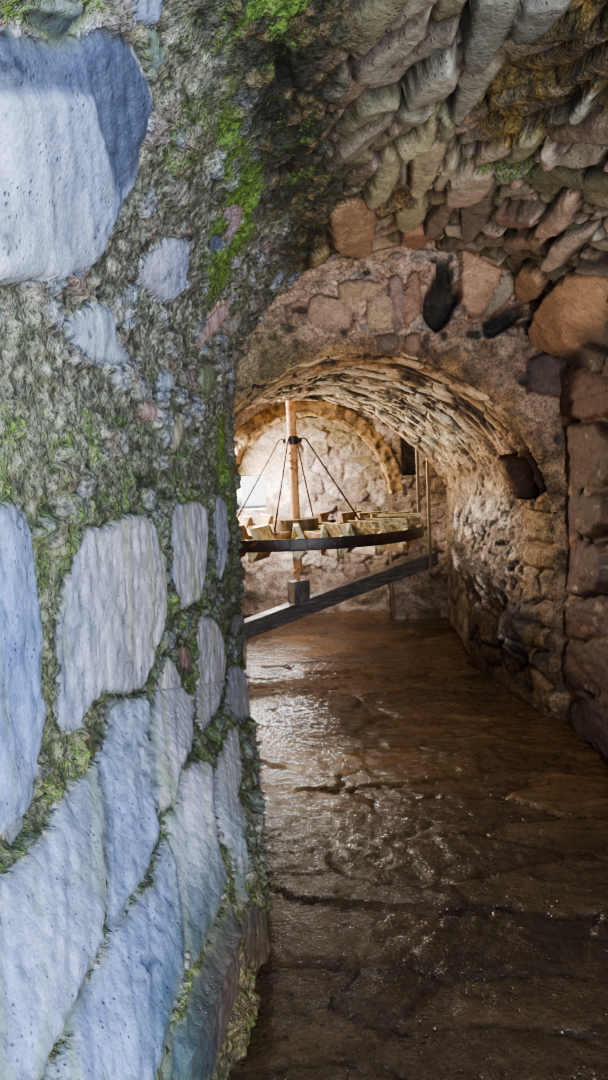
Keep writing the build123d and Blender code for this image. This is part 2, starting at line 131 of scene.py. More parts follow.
def noise(p, freq, seed):
    """Smooth value noise, -1 to 1. freq is cells a metre, one number or three."""
    q = p * np.asarray(freq, float) + 17.3
    i = np.floor(q)
    f = q - i
    f = f * f * f * (f * (f * 6 - 15) + 10)
    i = i.astype(np.int64)
    out = np.zeros(len(p))
    for a in (0, 1):
        wa = f[:, 0] if a else 1 - f[:, 0]
        for b in (0, 1):
            wb = wa * (f[:, 1] if b else 1 - f[:, 1])
            for c in (0, 1):
                w = wb * (f[:, 2] if c else 1 - f[:, 2])
                out += w * rnd(i[:, 0] + a, i[:, 1] + b, i[:, 2] + c, seed)
    return out * 2 - 1


def fbm(p, freq, octaves, seed, gain=0.5):
    out, amp, total = np.zeros(len(p)), 1.0, 0.0
    freq = np.asarray(freq, float)
    for k in range(octaves):
        out += amp * noise(p, freq * 2.03 ** k, seed + 31 * k)
        total += amp
        amp *= gain
    return out / total


def uv3(u, v, w=0.0):
    return np.stack([u, v, np.full(len(u), w)], -1)


def smooth(a, b, x):
    t = np.clip((x - a) / (b - a), 0, 1)
    return t * t * (3 - 2 * t)


def dome(d, r, height):
    """Rounded shoulder: 0 at the stone's edge, height from r inwards."""
    t = np.clip(d / r, 0, 1)
    return height * np.sqrt(np.clip(1 - (1 - t) ** 2, 0, 1))


def cells(u, v, su, sv, seed, jitter=0.8, stagger=0.5, grow=0.0):
    """Irregular stones on a loose grid of courses. Returns a number for each stone,
    the distance to its edge in metres, and the place from its centre in metres."""
    x, y = u / su, v / sv
    row = np.floor(y).astype(np.int64)
    best = np.full(len(u), 1e9)
    cx = np.zeros(len(u)); cy = np.zeros(len(u))
    ci = np.zeros(len(u), np.int64); cj = np.zeros(len(u), np.int64); bw = np.zeros(len(u))
    table = []
    for dj in (-1, 0, 1):
        j = row + dj
        shift = stagger * (j % 2) + 0.35 * (rnd(j, j * 0, j * 0, seed + 5) - 0.5)
        col = np.floor(x - shift).astype(np.int64)
        for di in (-1, 0, 1):
            i = col + di
            px = i + 0.5 + shift + jitter * (rnd(i, j, i * 0, seed) - 0.5)
            py = j + 0.5 + jitter * (rnd(i, j, i * 0, seed + 1) - 0.5)
            w = grow * (rnd(i, j, i * 0, seed + 2) - 0.5)
            d = (x - px) ** 2 + (y - py) ** 2 - w
            near = d < best
            best = np.where(near, d, best)
            cx = np.where(near, px, cx); cy = np.where(near, py, cy)
            ci = np.where(near, i, ci); cj = np.where(near, j, cj); bw = np.where(near, w, bw)
            table.append((i, j, px, py, w))
    edge = np.full(len(u), 1e9)
    for i, j, px, py, w in table:
        same = (i == ci) & (j == cj)
        nx, ny = px - cx, py - cy
        length = np.sqrt(nx * nx + ny * ny) + 1e-9
        # signed distance to the line between the two stones, in grid units
        d = ((x - px) ** 2 + (y - py) ** 2 - w - best) / (2 * length)
        real = np.sqrt((nx / length / su) ** 2 + (ny / length / sv) ** 2)
        d = d / real
        edge = np.where(same, edge, np.minimum(edge, d))
    key = rnd(ci, cj, ci * 0, seed + 9)
    return key, edge, (x - cx) * su, (y - cy) * sv


def key2(key, k):
    """More random numbers from a stone's own number."""
    t = np.sin(key * 12345.678 + k * 78.233) * 43758.5453
    return t - np.floor(t)


# ------------------------------------------------------------------ solid stone or open air


def throat_section(y):
    f = np.clip((y - Y_CROSS) / (Y_CHAMBER - Y_CROSS), 0, 1)
    return tuple(a + (b - a) * f for a, b in zip(NEAR, FAR))


def in_arch(x, z, cx, r, spring):
    return np.where(z < spring, np.abs(x - cx) < r, (x - cx) ** 2 + (z - spring) ** 2 < r * r)


def foot_profile(y):
    """Toe and rise of the battered footing along the left wall."""
    ys = np.array([Y_FRONT, -2.5, -0.36])
    return (np.interp(y, ys, [-0.06, 0.02, -0.30]), np.interp(y, ys, [0.80, 0.82, 0.30]))


def foot_x(y, z):
    """Inner face of the left wall with its footing."""
    toe, rise = foot_profile(y)
    z1 = FLOOR + 0.35 * rise
    z2 = FLOOR + rise
    a = toe - 0.012 * np.clip((z - FLOOR) / (z1 - FLOOR), 0, 1)
    b = (toe - 0.012) + (PASS_L - toe + 0.012) * np.clip((z - z1) / (z2 - z1), 0, 1)
    x = np.where(z < z1, a, b)
    return np.where(y > -0.3595, PASS_L, x)


def open_air(p):
    x, y, z = p[:, 0], p[:, 1], p[:, 2]
    out_passage = (y < Y_CROSS) & ((x < PASS_OUT_L) | (x > X_OUT) | (y < Y_FRONT) | (z > TOP))
    out_block = (y >= Y_CROSS) & ((np.abs(x) > X_OUT) | (y > Y_REAR) | (z > TOP))
    air = out_passage | out_block | (z < 0)
    passage = (y < Y_CROSS) & (z > FLOOR) & in_arch(x, z, PASS_CX, PASS_RAD, PASS_SPRING) & (x > foot_x(y, z))
    cx, r, sp = throat_section(y)
    throat = (y >= Y_CROSS) & (y <= Y_CHAMBER) & (z > FLOOR) & in_arch(x, z, cx, r, sp)
    chamber = (y > Y_CHAMBER) & (y < Y_BACK) & (z > FLOOR) & in_arch(x, z, CH_CX, CH_RAD, CH_SPRING)
    ring = (y > Y_BACK - 0.02) & (z > BACK_SPRING) & \
        (((x - BACK_CX) ** 2 + (z - BACK_SPRING) ** 2) < (BACK_RAD + BACK_RING) ** 2)
    chamber &= ~ring | (((x - BACK_CX) ** 2 + (z - BACK_SPRING) ** 2) < BACK_RAD ** 2)
    recess = (y >= Y_BACK - 0.02) & (y < Y_RECESS) & (z > FLOOR) & in_arch(x, z, BACK_CX, BACK_RAD, BACK_SPRING)
    inlet = (y >= Y_RECESS) & (x > INLET[0]) & (x < INLET[1]) & (z > INLET[2]) & (z < INLET[3])
    niche = (y >= Y_BACK) & (y < Y_BACK + NICHE[4]) & (x > NICHE[0]) & (x < NICHE[1]) & (z > NICHE[2]) & (z < NICHE[3])
    socket = (x > SOCKET[0]) & (x < SOCKET[1]) & (y > SOCKET[2]) & (y < SOCKET[3]) & (z > SOCKET[4]) & (z < SOCKET[5])
    slot = (x > SLOT[0]) & (x < SLOT[1]) & (y > SLOT[2]) & (y < SLOT[3]) & (z > 1.4)
    hole = ((x - WX) ** 2 + (y - WY) ** 2 < HOLE_R ** 2) & (z > 2.0)
    return air | passage | throat | chamber | recess | inlet | niche | socket | slot | hole


# ------------------------------------------------------------------ remeshing of the CAD pieces
# Each CAD face is laid flat, its outline is divided as finely as the view of it
# needs, and it is filled with even triangles. Hidden faces stay coarse.

CYL_Y = [  # axis x, axis z, radius
    (PASS_CX, PASS_SPRING, PASS_RAD), (PASS_CX, PASS_SPRING, PASS_RAD + VAULT_T),
    (CH_CX, CH_SPRING, CH_RAD), (CH_CX, CH_SPRING, CH_RAD + VAULT_T),
    (BACK_CX, BACK_SPRING, BACK_RAD), (BACK_CX, BACK_SPRING, BACK_RAD + BACK_RING)]
R0 = 1.06   # mean radius that the throat is laid flat with


def throat_uv(p):
    cx, r, sp = throat_section(p[:, 1])
    z = p[:, 2]
    side = np.where(p[:, 0] < cx, -1.0, 1.0)
    th = np.arctan2(np.maximum(z - sp, 0), p[:, 0] - cx)
    s = np.where(z < sp, np.where(side < 0, -(sp - z), math.pi * R0 + (sp - z)), (math.pi - th) * R0)
    return s, p[:, 1]


def throat_xyz(s, y):
    cx, r, sp = throat_section(y)
    th = math.pi - np.clip(s / R0, 0, math.pi)
    below = np.maximum(-s, 0) + np.maximum(s - math.pi * R0, 0)
    return np.stack([cx + r * np.cos(th), y, sp + r * np.sin(th) - below], -1)


def throat_off(p):
    cx, r, sp = throat_section(p[:, 1])
    d = np.where(p[:, 2] < sp, np.abs(p[:, 0] - cx) - r, np.hypot(p[:, 0] - cx, p[:, 2] - sp) - r)
    return d


class Flat:
    """A plane. step is the spacing along its two axes."""
    def __init__(self, origin, n, step):
        n = n / np.linalg.norm(n)
        a = np.array([0, 1, 0]) if abs(n[0]) > 0.9 else np.array([1, 0, 0])
        if abs(n[2]) < 0.9 and abs(n[0]) <= 0.9 and abs(n[1]) < 0.9:
            a = np.array([0, 1, 0])
        self.step = float(min(step))
        self.u = a - n * (a @ n)
        self.u /= np.linalg.norm(self.u)
        self.v = np.cross(n, self.u)
        self.n, self.o = n, origin
        # the step belongs to world directions: x, y, z
        self.su = 1 / np.linalg.norm(self.u / step)
        self.sv = 1 / np.linalg.norm(self.v / step)

    def flat(self, p):
        d = p - self.o
        return np.stack([(d @ self.u) / self.su, (d @ self.v) / self.sv], -1)

    def back(self, q):
        return self.o + np.outer(q[:, 0] * self.su, self.u) + np.outer(q[:, 1] * self.sv, self.v)

    def normal(self, p):
        return np.tile(self.n, (len(p), 1))


class Round:
    """A cylinder along Y."""
    def __init__(self, cx, cz, r, outward, steps):
        self.c, self.r, self.sign, self.steps = (cx, cz), r, outward, steps
        self.step = float(min(steps))

    def flat(self, p):
        th = np.arctan2(p[:, 2] - self.c[1], p[:, 0] - self.c[0])
        th = np.where(th < -1.5, th + 2 * math.pi, th)
        return np.stack([th * self.r / self.steps[0], p[:, 1] / self.steps[1]], -1)

    def back(self, q):
        th = q[:, 0] * self.steps[0] / self.r
        return np.stack([self.c[0] + self.r * np.cos(th), q[:, 1] * self.steps[1], self.c[1] + self.r * np.sin(th)], -1)

    def normal(self, p):
        d = np.stack([p[:, 0] - self.c[0], np.zeros(len(p)), p[:, 2] - self.c[1]], -1)
        return self.sign * d / np.linalg.norm(d, axis=1, keepdims=True)


class Throat:
    def __init__(self, steps):
        self.steps = steps
        self.step = float(min(steps))

    def flat(self, p):
        s, y = throat_uv(p)
        return np.stack([s / self.steps[0], y / self.steps[1]], -1)

    def back(self, q):
        return throat_xyz(q[:, 0] * self.steps[0], q[:, 1] * self.steps[1])

    def normal(self, p):
        s, y = throat_uv(p)
        e = 0.004
        a = throat_xyz(s + e, y) - throat_xyz(s - e, y)
        b = throat_xyz(s, y + e) - throat_xyz(s, y - e)
        n = np.cross(a, b)
        n /= np.linalg.norm(n, axis=1, keepdims=True)
        cx, r, sp = throat_section(y)
        inward = np.stack([cx - p[:, 0], np.zeros(len(p)), np.where(p[:, 2] < sp, 0, sp - p[:, 2])], -1)
        return n * np.sign(np.einsum("ij,ij->i", n, inward))[:, None]


class Ramp:
    """The footing's faces, laid flat on the plane of the wall."""
    def __init__(self, steps):
        self.steps = steps
        self.step = float(min(steps))

    def flat(self, p):
        return np.stack([p[:, 1] / self.steps[1], p[:, 2] / self.steps[2]], -1)

    def back(self, q):
        y, z = q[:, 0] * self.steps[1], q[:, 1] * self.steps[2]
        return np.stack([foot_x(y, z), y, z], -1)

    def normal(self, p):
        e = 0.01
        dy = (foot_x(p[:, 1] + e, p[:, 2]) - foot_x(p[:, 1] - e, p[:, 2])) / (2 * e)
        dz = (foot_x(p[:, 1], p[:, 2] + e) - foot_x(p[:, 1], p[:, 2] - e)) / (2 * e)
        t = smooth(0.0, 0.06, FLOOR + foot_profile(p[:, 1])[1] - p[:, 2])
        n = np.stack([np.ones(len(p)), -np.clip(dy, -0.5, 0.5) * t, -dz * t], -1)
        return n / np.linalg.norm(n, axis=1, keepdims=True)


def even_odd(points, loops):
    """Which points lie inside the closed outlines, given as an array of segments."""
    out = np.zeros(len(points), bool)
    a, b = loops[:, 0], loops[:, 1]
    for k0 in range(0, len(points), 20000):
        q = points[k0:k0 + 20000]
        x, y = q[:, 0:1], q[:, 1:2]
        cross = (a[:, 1] > y) != (b[:, 1] > y)
        t = (y - a[:, 1]) / np.where(b[:, 1] == a[:, 1], 1, b[:, 1] - a[:, 1])
        hit = cross & (x < a[:, 0] + t * (b[:, 0] - a[:, 0]))
        out[k0:k0 + 20000] = hit.sum(1) % 2 == 1
    return out


# finest spacing of the triangles on each kind of face: x, y, z on a flat face,
# round the curve and along Y on a vault
STEPS = {
    "left": (0.010, 0.0135, 0.0085), "foot": (0.010, 0.0135, 0.0085), "vault": (0.0104, 0.0134),
    "cross": (0.0102, 0.0102, 0.0102), "throat": (0.0130, 0.0071), "right": (0.0125, 0.0125, 0.0125),
    "floor": (0.0165, 0.0165, 0.0165), "back": (0.0155, 0.0155, 0.0155), "ring": (0.014, 0.022),
    "chamber": (0.03, 0.03, 0.03), "chvault": (0.03, 0.03), "ext": (0.042, 0.042, 0.042),
    "top": (0.06, 0.06, 0.06), "inner": (0.03, 0.03, 0.03), "hidden": (0.3, 0.3, 0.3)}


def zone_of(name, shape, n, c):
    if shape == "throat":
        return "throat"
    if shape == "round":
        if name == "passage_vault":
            return "vault" if n is None or c[1] < 1.0 else "hidden"
        if name == "chamber_vault":
            return "chvault" if c[1] < 1.4 else "hidden"
        if name == "back_arch_ring":
            return "ring" if c[1] < 0.85 else "hidden"
        return "hidden"
    if n[2] < -0.9:
        return "inner" if c[2] > 0.3 else "hidden"
    if n[2] > 0.9:
        if abs(c[2] - TOP) < 0.01:
            return "top"
        return "floor" if name.endswith("_floor") else "inner"
    if name in ("left_wall_footing",) and n[0] > 0.3:
        return "foot"
    if name == "passage_left_wall" and n[0] > 0.9:
        return "left"
    if name == "passage_right_wall" and n[0] < -0.9:
        return "right"
    if name.startswith("cross_wall") and n[1] < -0.9 and c[1] < Y_CROSS + 0.02:
        return "cross"
    if n[1] < -0.9 and Y_BACK - 0.05 < c[1] < Y_RECESS + 0.05:
        return "back"
    if name.startswith("chamber") and abs(n[0]) > 0.9 and abs(c[0]) < 1.6:
        return "chamber"
    if (abs(n[0]) > 0.9 and (abs(abs(c[0]) - X_OUT) < 0.01 or abs(c[0] - PASS_OUT_L) < 0.01)) or \
            (abs(n[1]) > 0.9 and (abs(c[1] - Y_FRONT) < 0.01 or abs(c[1] - Y_REAR) < 0.01)):
        return "ext"
    return "inner"


def level(kd, p, n, near_edge=False):
    """How much coarser than the finest step the triangles may be at a place."""
    z = kd.zone
    if z == "hidden":
        return np.ones(len(p))
    free = open_air(p + 0.022 * n)
    if near_edge:
        for off in ((0.02, 0, 0), (-0.02, 0, 0), (0, 0.02, 0), (0, -0.02, 0), (0, 0, 0.02), (0, 0, -0.02)):
            off = np.array(off)
            flat = off - n * (n @ off)[:, None]
            free |= open_air(p + 0.022 * n + flat)
    y = p[:, 1]
    out = np.ones(len(p))
    if z in ("left", "foot", "right"):
        out = np.where(y < -3.72, 3.0, 1.0)
        if z == "right":
            out = np.where(y < -1.25, 4.0, 1.0)
    elif z == "vault":
        th = np.arctan2(p[:, 2] - PASS_SPRING, p[:, 0] - PASS_CX)
        edge = np.where(th > 2.1, -3.55, -2.85)
        out = np.where(y < edge, 4.0, np.where(th > 2.75, 1.15, 1.0))
    elif z == "cross":
        out = np.where((p[:, 0] < PASS_OUT_L), 4.0, 1.0)
    elif z == "throat":
        s, yy = throat_uv(p)
        out = np.where((s < -0.35) | (s < 0.3) & (yy > 0.2), 3.0, 1.0)
        out = np.where((p[:, 2] < 0.25), 2.0, out)
    elif z == "floor":
        out = np.where(y < -3.1, 3.0, np.where(y > 0.9, 2.0, 1.0))
    elif z == "back":
        out = np.where((p[:, 0] > 1.2) | (p[:, 0] < -1.5), 4.0, 1.0)
        out = np.where(p[:, 2] < 0.5, 2.0, out)
    elif z == "ring":
        out = np.where(y > Y_RECESS, 8.0, 1.0)
    coarse = 0.3 / max(kd.step, 1e-3)
    return np.where(free, out, coarse)


def remesh(name):
    me = NODES[name].data
    me.calc_loop_triangles()
    co = np.zeros(len(me.vertices) * 3)
    me.vertices.foreach_get("co", co)
    co = co.reshape(-1, 3)
    tri = np.zeros(len(me.loop_triangles) * 3, np.int64)
    me.loop_triangles.foreach_get("vertices", tri)
    tri = tri.reshape(-1, 3)
    _, first, inv = np.unique(np.round(co * 20000).astype(np.int64), axis=0, return_index=True, return_inverse=True)
    V, T = co[first], inv.ravel()[tri]
    T = T[(T[:, 0] != T[:, 1]) & (T[:, 1] != T[:, 2]) & (T[:, 0] != T[:, 2])]
    N = np.cross(V[T[:, 1]] - V[T[:, 0]], V[T[:, 2]] - V[T[:, 0]])
    area = np.linalg.norm(N, axis=1)
    T, N, area = T[area > 1e-12], N[area > 1e-12], area[area > 1e-12]
    N = N / area[:, None]
    # neighbours
    E = np.concatenate([T[:, [0, 1]], T[:, [1, 2]], T[:, [2, 0]]])
    F = np.tile(np.arange(len(T)), 3)
    key = np.sort(E, axis=1)
    uniq, einv = np.unique(key, axis=0, return_inverse=True)
    einv = einv.ravel()
    order = np.argsort(einv, kind="stable")
    starts = np.searchsorted(einv[order], np.arange(len(uniq)))
    ends = np.searchsorted(einv[order], np.arange(len(uniq)), side="right")
    pairs = [(F[order[a]], F[order[a + 1]]) if b - a == 2 else None for a, b in zip(starts, ends)]
    parent = list(range(len(T)))

    def root(a):
        while parent[a] != a:
            parent[a] = parent[parent[a]]
            a = parent[a]
        return a

    for pr in pairs:
        if pr is not None and N[pr[0]] @ N[pr[1]] > 0.955:
            parent[root(pr[0])] = root(pr[1])
    reg = np.array([root(k) for k in range(len(T))])
    ids = {r: k for k, r in enumerate(sorted(set(reg.tolist())))}
    reg = np.array([ids[r] for r in reg])
    kinds = []
    for r in range(len(ids)):
        t = T[reg == r]
        n = N[reg == r]
        w = area[reg == r]
        pts = V[np.unique(t)]
        mean = (n * w[:, None]).sum(0)
        mean /= np.linalg.norm(mean) + 1e-12
        kind = None
        if (n @ mean).min() > 0.9993 and not (name == "left_wall_footing" and mean[0] > 0.3):
            z = zone_of(name, "flat", mean, (V[t].mean(1) * w[:, None]).sum(0) / w.sum())
            kind = Flat(pts[0], mean, np.array(STEPS[z]))
            kind.zone = z
        elif name == "left_wall_footing" and mean[0] > 0.3 and \
                np.abs(pts[:, 0] - foot_x(pts[:, 1], pts[:, 2])).max() < 0.004:
            kind = Ramp(STEPS["foot"])
            kind.zone = "foot"
        elif np.abs(throat_off(pts)).max() < 0.003 and pts[:, 1].min() > -0.31 and pts[:, 1].max() < 1.21:
            kind = Throat(STEPS["throat"])
            kind.zone = "throat"
        elif np.abs(n[:, 1]).max() < 0.02:
            for cx, cz, rad in CYL_Y:
                d = np.hypot(pts[:, 0] - cx, pts[:, 2] - cz)
                if np.abs(d - rad).max() < 0.003:
                    c = V[t].mean(1)
                    out = np.sign(((c[:, [0, 2]] - (cx, cz)) * n[:, [0, 2]]).sum())
                    z = zone_of(name, "round", mean, np.array([cx, rad, cz]))
                    kind = Round(cx, cz, rad, out, STEPS[z][:2])
                    kind.zone = z
        kinds.append(kind)
    # feature edges and chains
    feat = []
    for e, pr in enumerate(pairs):
        if pr is None or reg[pr[0]] != reg[pr[1]]:
            feat.append((uniq[e][0], uniq[e][1], (-1, -1) if pr is None else tuple(sorted((reg[pr[0]], reg[pr[1]])))))
    at = {}
    for k, (a, b, _) in enumerate(feat):
        at.setdefault(a, []).append(k)
        at.setdefault(b, []).append(k)

    def corner(v):
        ks = at[v]
        if len(ks) != 2 or feat[ks[0]][2] != feat[ks[1]][2]:
            return True
        o = [feat[k][1] if feat[k][0] == v else feat[k][0] for k in ks]
        d0, d1 = V[v] - V[o[0]], V[o[1]] - V[v]
        return d0 @ d1 < 0.9 * np.linalg.norm(d0) * np.linalg.norm(d1)

    used = set()
    chains = []
    for v in [v for v in at if corner(v)] + list(at):
        for k in at[v]:
            if k in used:
                continue
            path = [v]
            cur, kk = v, k
            while True:
                used.add(kk)
                nxt = feat[kk][1] if feat[kk][0] == cur else feat[kk][0]
                path.append(nxt)
                if corner(nxt) or nxt == v:
                    break
                more = [q for q in at[nxt] if q not in used]
                if not more:
                    break
                cur, kk = nxt, more[0]
            chains.append((path, feat[k][2]))
    out_pos = []
    index_of = {}

    def vertex(v):
        if v not in index_of:
            index_of[v] = len(out_pos)
            out_pos.append(V[v])
        return index_of[v]

    segs = {r: [] for r in range(len(kinds))}
    for path, pr in chains:
        frozen = pr[0] < 0 or kinds[pr[0]] is None or kinds[pr[1]] is None
        P = V[path]
        if frozen:
            idx = [vertex(v) for v in path]
        else:
            seg = np.linalg.norm(np.diff(P, axis=0), axis=1)
            L = np.concatenate([[0], np.cumsum(seg)])
            if L[-1] < 1e-9:
                continue
            m = max(2, int(L[-1] / 0.004) + 1)
            t = np.linspace(0, L[-1], m)
            Q = np.stack([np.interp(t, L, P[:, c]) for c in range(3)], -1)
            mid = (Q[1:] + Q[:-1]) / 2
            dens = np.zeros(m - 1)
            for r in pr:
                kd = kinds[r]
                step = np.linalg.norm(kd.flat(Q[1:]) - kd.flat(Q[:-1]), axis=1)
                dens = np.maximum(dens, step / level(kd, mid, kd.normal(mid), True))
            cum = np.concatenate([[0], np.cumsum(dens)])
            n = max(1, int(math.ceil(cum[-1])))
            curved = any(not isinstance(kinds[r], Flat) for r in pr)
            if curved:
                n = max(n, len(path) // 2)
            ts = np.interp(np.linspace(0, cum[-1], n + 1)[1:-1], cum, t)
            if curved and cum[-1] < 1e-6:
                ts = np.linspace(0, L[-1], n + 1)[1:-1]
            mids = np.stack([np.interp(ts, L, P[:, c]) for c in range(3)], -1)
            idx = [vertex(path[0])]
            for q in mids:
                idx.append(len(out_pos))
                out_pos.append(q)
            idx.append(vertex(path[-1]))
        for r in set(pr):
            if r >= 0:
                segs[r] += list(zip(idx[:-1], idx[1:]))
    tris, owner = [], []
    for r, kd in enumerate(kinds):
        if kd is None:
            for t in T[reg == r]:
                tris.append([vertex(v) for v in t])
                owner.append(r)
            continue
        S = np.array(segs[r])
        b_ids = np.unique(S)
        local = {int(g): k for k, g in enumerate(b_ids)}
        P = np.array([out_pos[g] for g in b_ids])
        B = kd.flat(P)
        C = np.array([[local[int(a)], local[int(b)]] for a, b in S])
        loops = np.stack([B[C[:, 0]], B[C[:, 1]]], 1)
        mn, mx = B.min(0), B.max(0)
        rows = int((mx[1] - mn[1]) / 0.866) + 2
        cols = int(mx[0] - mn[0]) + 2
        jj, ii = np.meshgrid(np.arange(rows), np.arange(cols), indexing="ij")
        jj, ii = jj.ravel(), ii.ravel()
        G = np.stack([mn[0] + ii + 0.5 * (jj % 2), mn[1] + jj * 0.866], -1)
        keep = np.ones(len(G), bool)
        lv = np.zeros(len(G))
        for k0 in range(0, len(G), 50000):
            X = kd.back(G[k0:k0 + 50000])
            lv[k0:k0 + 50000] = level(kd, X, kd.normal(X))
        k = np.clip(np.floor(np.log2(np.maximum(lv, 1)) + 0.3), 0, 7).astype(int)
        f = 2 ** k
        # coarse levels keep every second, fourth ... row and column
        keep &= (jj % f == 0) & (np.where(f > 1, ii + (jj % 2) // 2, ii) % f == 0)
        G, f = G[keep], f[keep]
        if len(G):
            inside = even_odd(G, loops)
            G, f = G[inside], f[inside]
        if len(G):
            # nothing closer to the outline than half a spacing
            w = {}
            long_ = np.linalg.norm(loops[:, 1] - loops[:, 0], axis=1)
            more = [B]
            for s0, s1, d in zip(loops[:, 0], loops[:, 1], long_):
                k = int(d / 0.8)
                if k:
                    more.append(s0 + np.outer(np.arange(1, k + 1) / (k + 1), s1 - s0))
            pts = np.concatenate(more)
            cell = np.floor(pts / 4).astype(int)
            for q, c in zip(pts, map(tuple, cell)):
                w.setdefault(c, []).append(q)
            gc = np.floor(G / 4).astype(int)
            order_g = np.lexsort((gc[:, 1], gc[:, 0]))
            gs = gc[order_g]
            cut = np.flatnonzero(np.any(np.diff(gs, axis=0) != 0, axis=1)) + 1
            bad = np.zeros(len(G), bool)
            for grp in np.split(order_g, cut):
                c = gc[grp[0]]
                near = [q for dx in (-1, 0, 1) for dy in (-1, 0, 1) for q in w.get((c[0] + dx, c[1] + dy), ())]
                if near:
                    near = np.array(near)
                    d2 = ((G[grp][:, None] - near[None]) ** 2).sum(-1).min(1)
                    bad[grp] = d2 < (0.6 * np.minimum(f[grp], 4)) ** 2
            G = G[~bad]
        pts2 = np.concatenate([B, G]) if len(G) else B
        vl = [Vector((float(a), float(b))) for a, b in pts2]
        res = delaunay_2d_cdt(vl, [tuple(map(int, c)) for c in C], [], 2, 1e-9)
        ov, of_, orig = np.array([tuple(v) for v in res[0]]), np.array(res[2]), res[3]
        base = len(out_pos)
        remap = np.zeros(len(ov), np.int64)
        extra = []
        for k, o in enumerate(orig):
            o = [q for q in o if q < len(pts2)]
            if o and o[0] < len(B):
                remap[k] = b_ids[o[0]]
            else:
                remap[k] = base + len(extra)
                extra.append(ov[k])
        if extra:
            X = kd.back(np.array(extra))
            out_pos.extend(list(X))
        # same winding as the CAD face
        f0 = kd.flat(V[T[reg == r]].reshape(-1, 3)).reshape(-1, 3, 2)
        a = np.cross(f0[:, 1] - f0[:, 0], f0[:, 2] - f0[:, 0]).sum()
        g0 = ov[of_]
        b = np.cross(g0[:, 1] - g0[:, 0], g0[:, 2] - g0[:, 0])
        link = {}
        for s0, s1 in C.tolist():
            link.setdefault(s0, []).append(s1)
            link.setdefault(s1, []).append(s0)
        seen, todo = {0}, [0]
        while todo:
            for q in link[todo.pop()]:
                if q not in seen:
                    seen.add(q)
                    todo.append(q)
        if len(seen) < len(B):      # the face has holes
            keep = even_odd(g0.mean(1), loops) | (np.abs(b) < 1e-5)
            of_, b = of_[keep], b[keep]
        if b.sum() * a < 0:
            of_ = of_[:, ::-1]
        tris.extend(remap[of_].tolist())
        owner.extend([r] * len(of_))
    pos = np.array(out_pos)
    tris, owner = np.array(tris), np.array(owner)
    # for each corner of each triangle: is the face open to the air there
    cen = pos[tris].mean(1)
    nrm = np.zeros_like(cen)
    for r, kd in enumerate(kinds):
        sel = owner == r
        if not sel.any():
            continue
        if kd is None:
            q = pos[tris[sel]]
            n = np.cross(q[:, 1] - q[:, 0], q[:, 2] - q[:, 0])
            nrm[sel] = n / (np.linalg.norm(n, axis=1, keepdims=True) + 1e-12)
        else:
            nrm[sel] = kd.normal(cen[sel])
    open_tri = open_air(cen + 0.022 * nrm) & (nrm[:, 2] > -0.999 + (cen[:, 2] > 0.05) * -1)
    none = np.array([kinds[r] is None for r in owner])
    open_tri &= ~none
    return pos, tris, owner, kinds, open_tri

# ------------------------------------------------------------------ colours and outlines


def srgb(r, g, b):
    c = np.array([r, g, b], float) / 255.0
    return np.where(c <= 0.04045, c / 12.92, ((c + 0.055) / 1.055) ** 2.4)


def mix(a, b, t):
    t = np.clip(t, 0, 1)[:, None]
    return a * (1 - t) + b * t


def flat_colour(c, n):
    return np.tile(np.asarray(c, float), (n, 1))


def inside_outline(poly, q):
    """Distance in from the edge of a closed outline, negative outside."""
    a = np.asarray(poly, float)
    b = np.roll(a, -1, axis=0)
    best = np.full(len(q), 1e9)
    odd = np.zeros(len(q), bool)
    for (ax, ay), (bx, by) in zip(a, b):
        dx, dy = bx - ax, by - ay
        t = np.clip(((q[:, 0] - ax) * dx + (q[:, 1] - ay) * dy) / (dx * dx + dy * dy + 1e-12), 0, 1)
        best = np.minimum(best, (q[:, 0] - ax - t * dx) ** 2 + (q[:, 1] - ay - t * dy) ** 2)
        if ay != by:
            odd ^= ((ay > q[:, 1]) != (by > q[:, 1])) & (q[:, 0] < ax + (q[:, 1] - ay) * dx / dy)
    d = np.sqrt(best)
    return np.where(odd, d, -d)


def rounded(poly, times=1):
    p = np.asarray(poly, float)
    for _ in range(times):
        n = np.roll(p, -1, axis=0)
        p = np.stack([p * 0.78 + n * 0.22, p * 0.22 + n * 0.78], 1).reshape(-1, 2)
    return p


def cast(px):
    """Where the lines of sight through photo pixels meet the stonework."""
    d = rays(px)
    out = np.zeros((len(d), 3))
    t = np.arange(1.15, 9.0, 0.006)
    for k in range(len(d)):
        p = CAM + t[:, None] * d[k]
        out[k] = p[np.argmax(~open_air(p))]
    return out


def cast_left(px):
    """The same on the left wall, its footing and the left half of the vault alone: (y, v)."""
    d = rays(px)
    t = np.arange(1.0, 6.5, 0.005)
    out = np.zeros((len(d), 2))
    for k in range(len(d)):
        p = CAM + t[:, None] * d[k]
        solid = np.where(p[:, 2] < PASS_SPRING, p[:, 0] < foot_x(p[:, 1], p[:, 2]),
                         ((p[:, 0] - PASS_CX) ** 2 + (p[:, 2] - PASS_SPRING) ** 2 > PASS_RAD ** 2))
        solid |= p[:, 1] > Y_CROSS
        out[k] = shell(p[np.argmax(solid)][None])[0]
    return out


def shell(p):
    """Left side laid flat: y, and the height along the wall and on up round the vault."""
    th = np.arctan2(p[:, 2] - PASS_SPRING, p[:, 0] - PASS_CX)
    up = p[:, 2] >= PASS_SPRING
    return np.stack([p[:, 1], np.where(up, (math.pi - np.abs(th)) * PASS_RAD, p[:, 2] - PASS_SPRING)], -1)


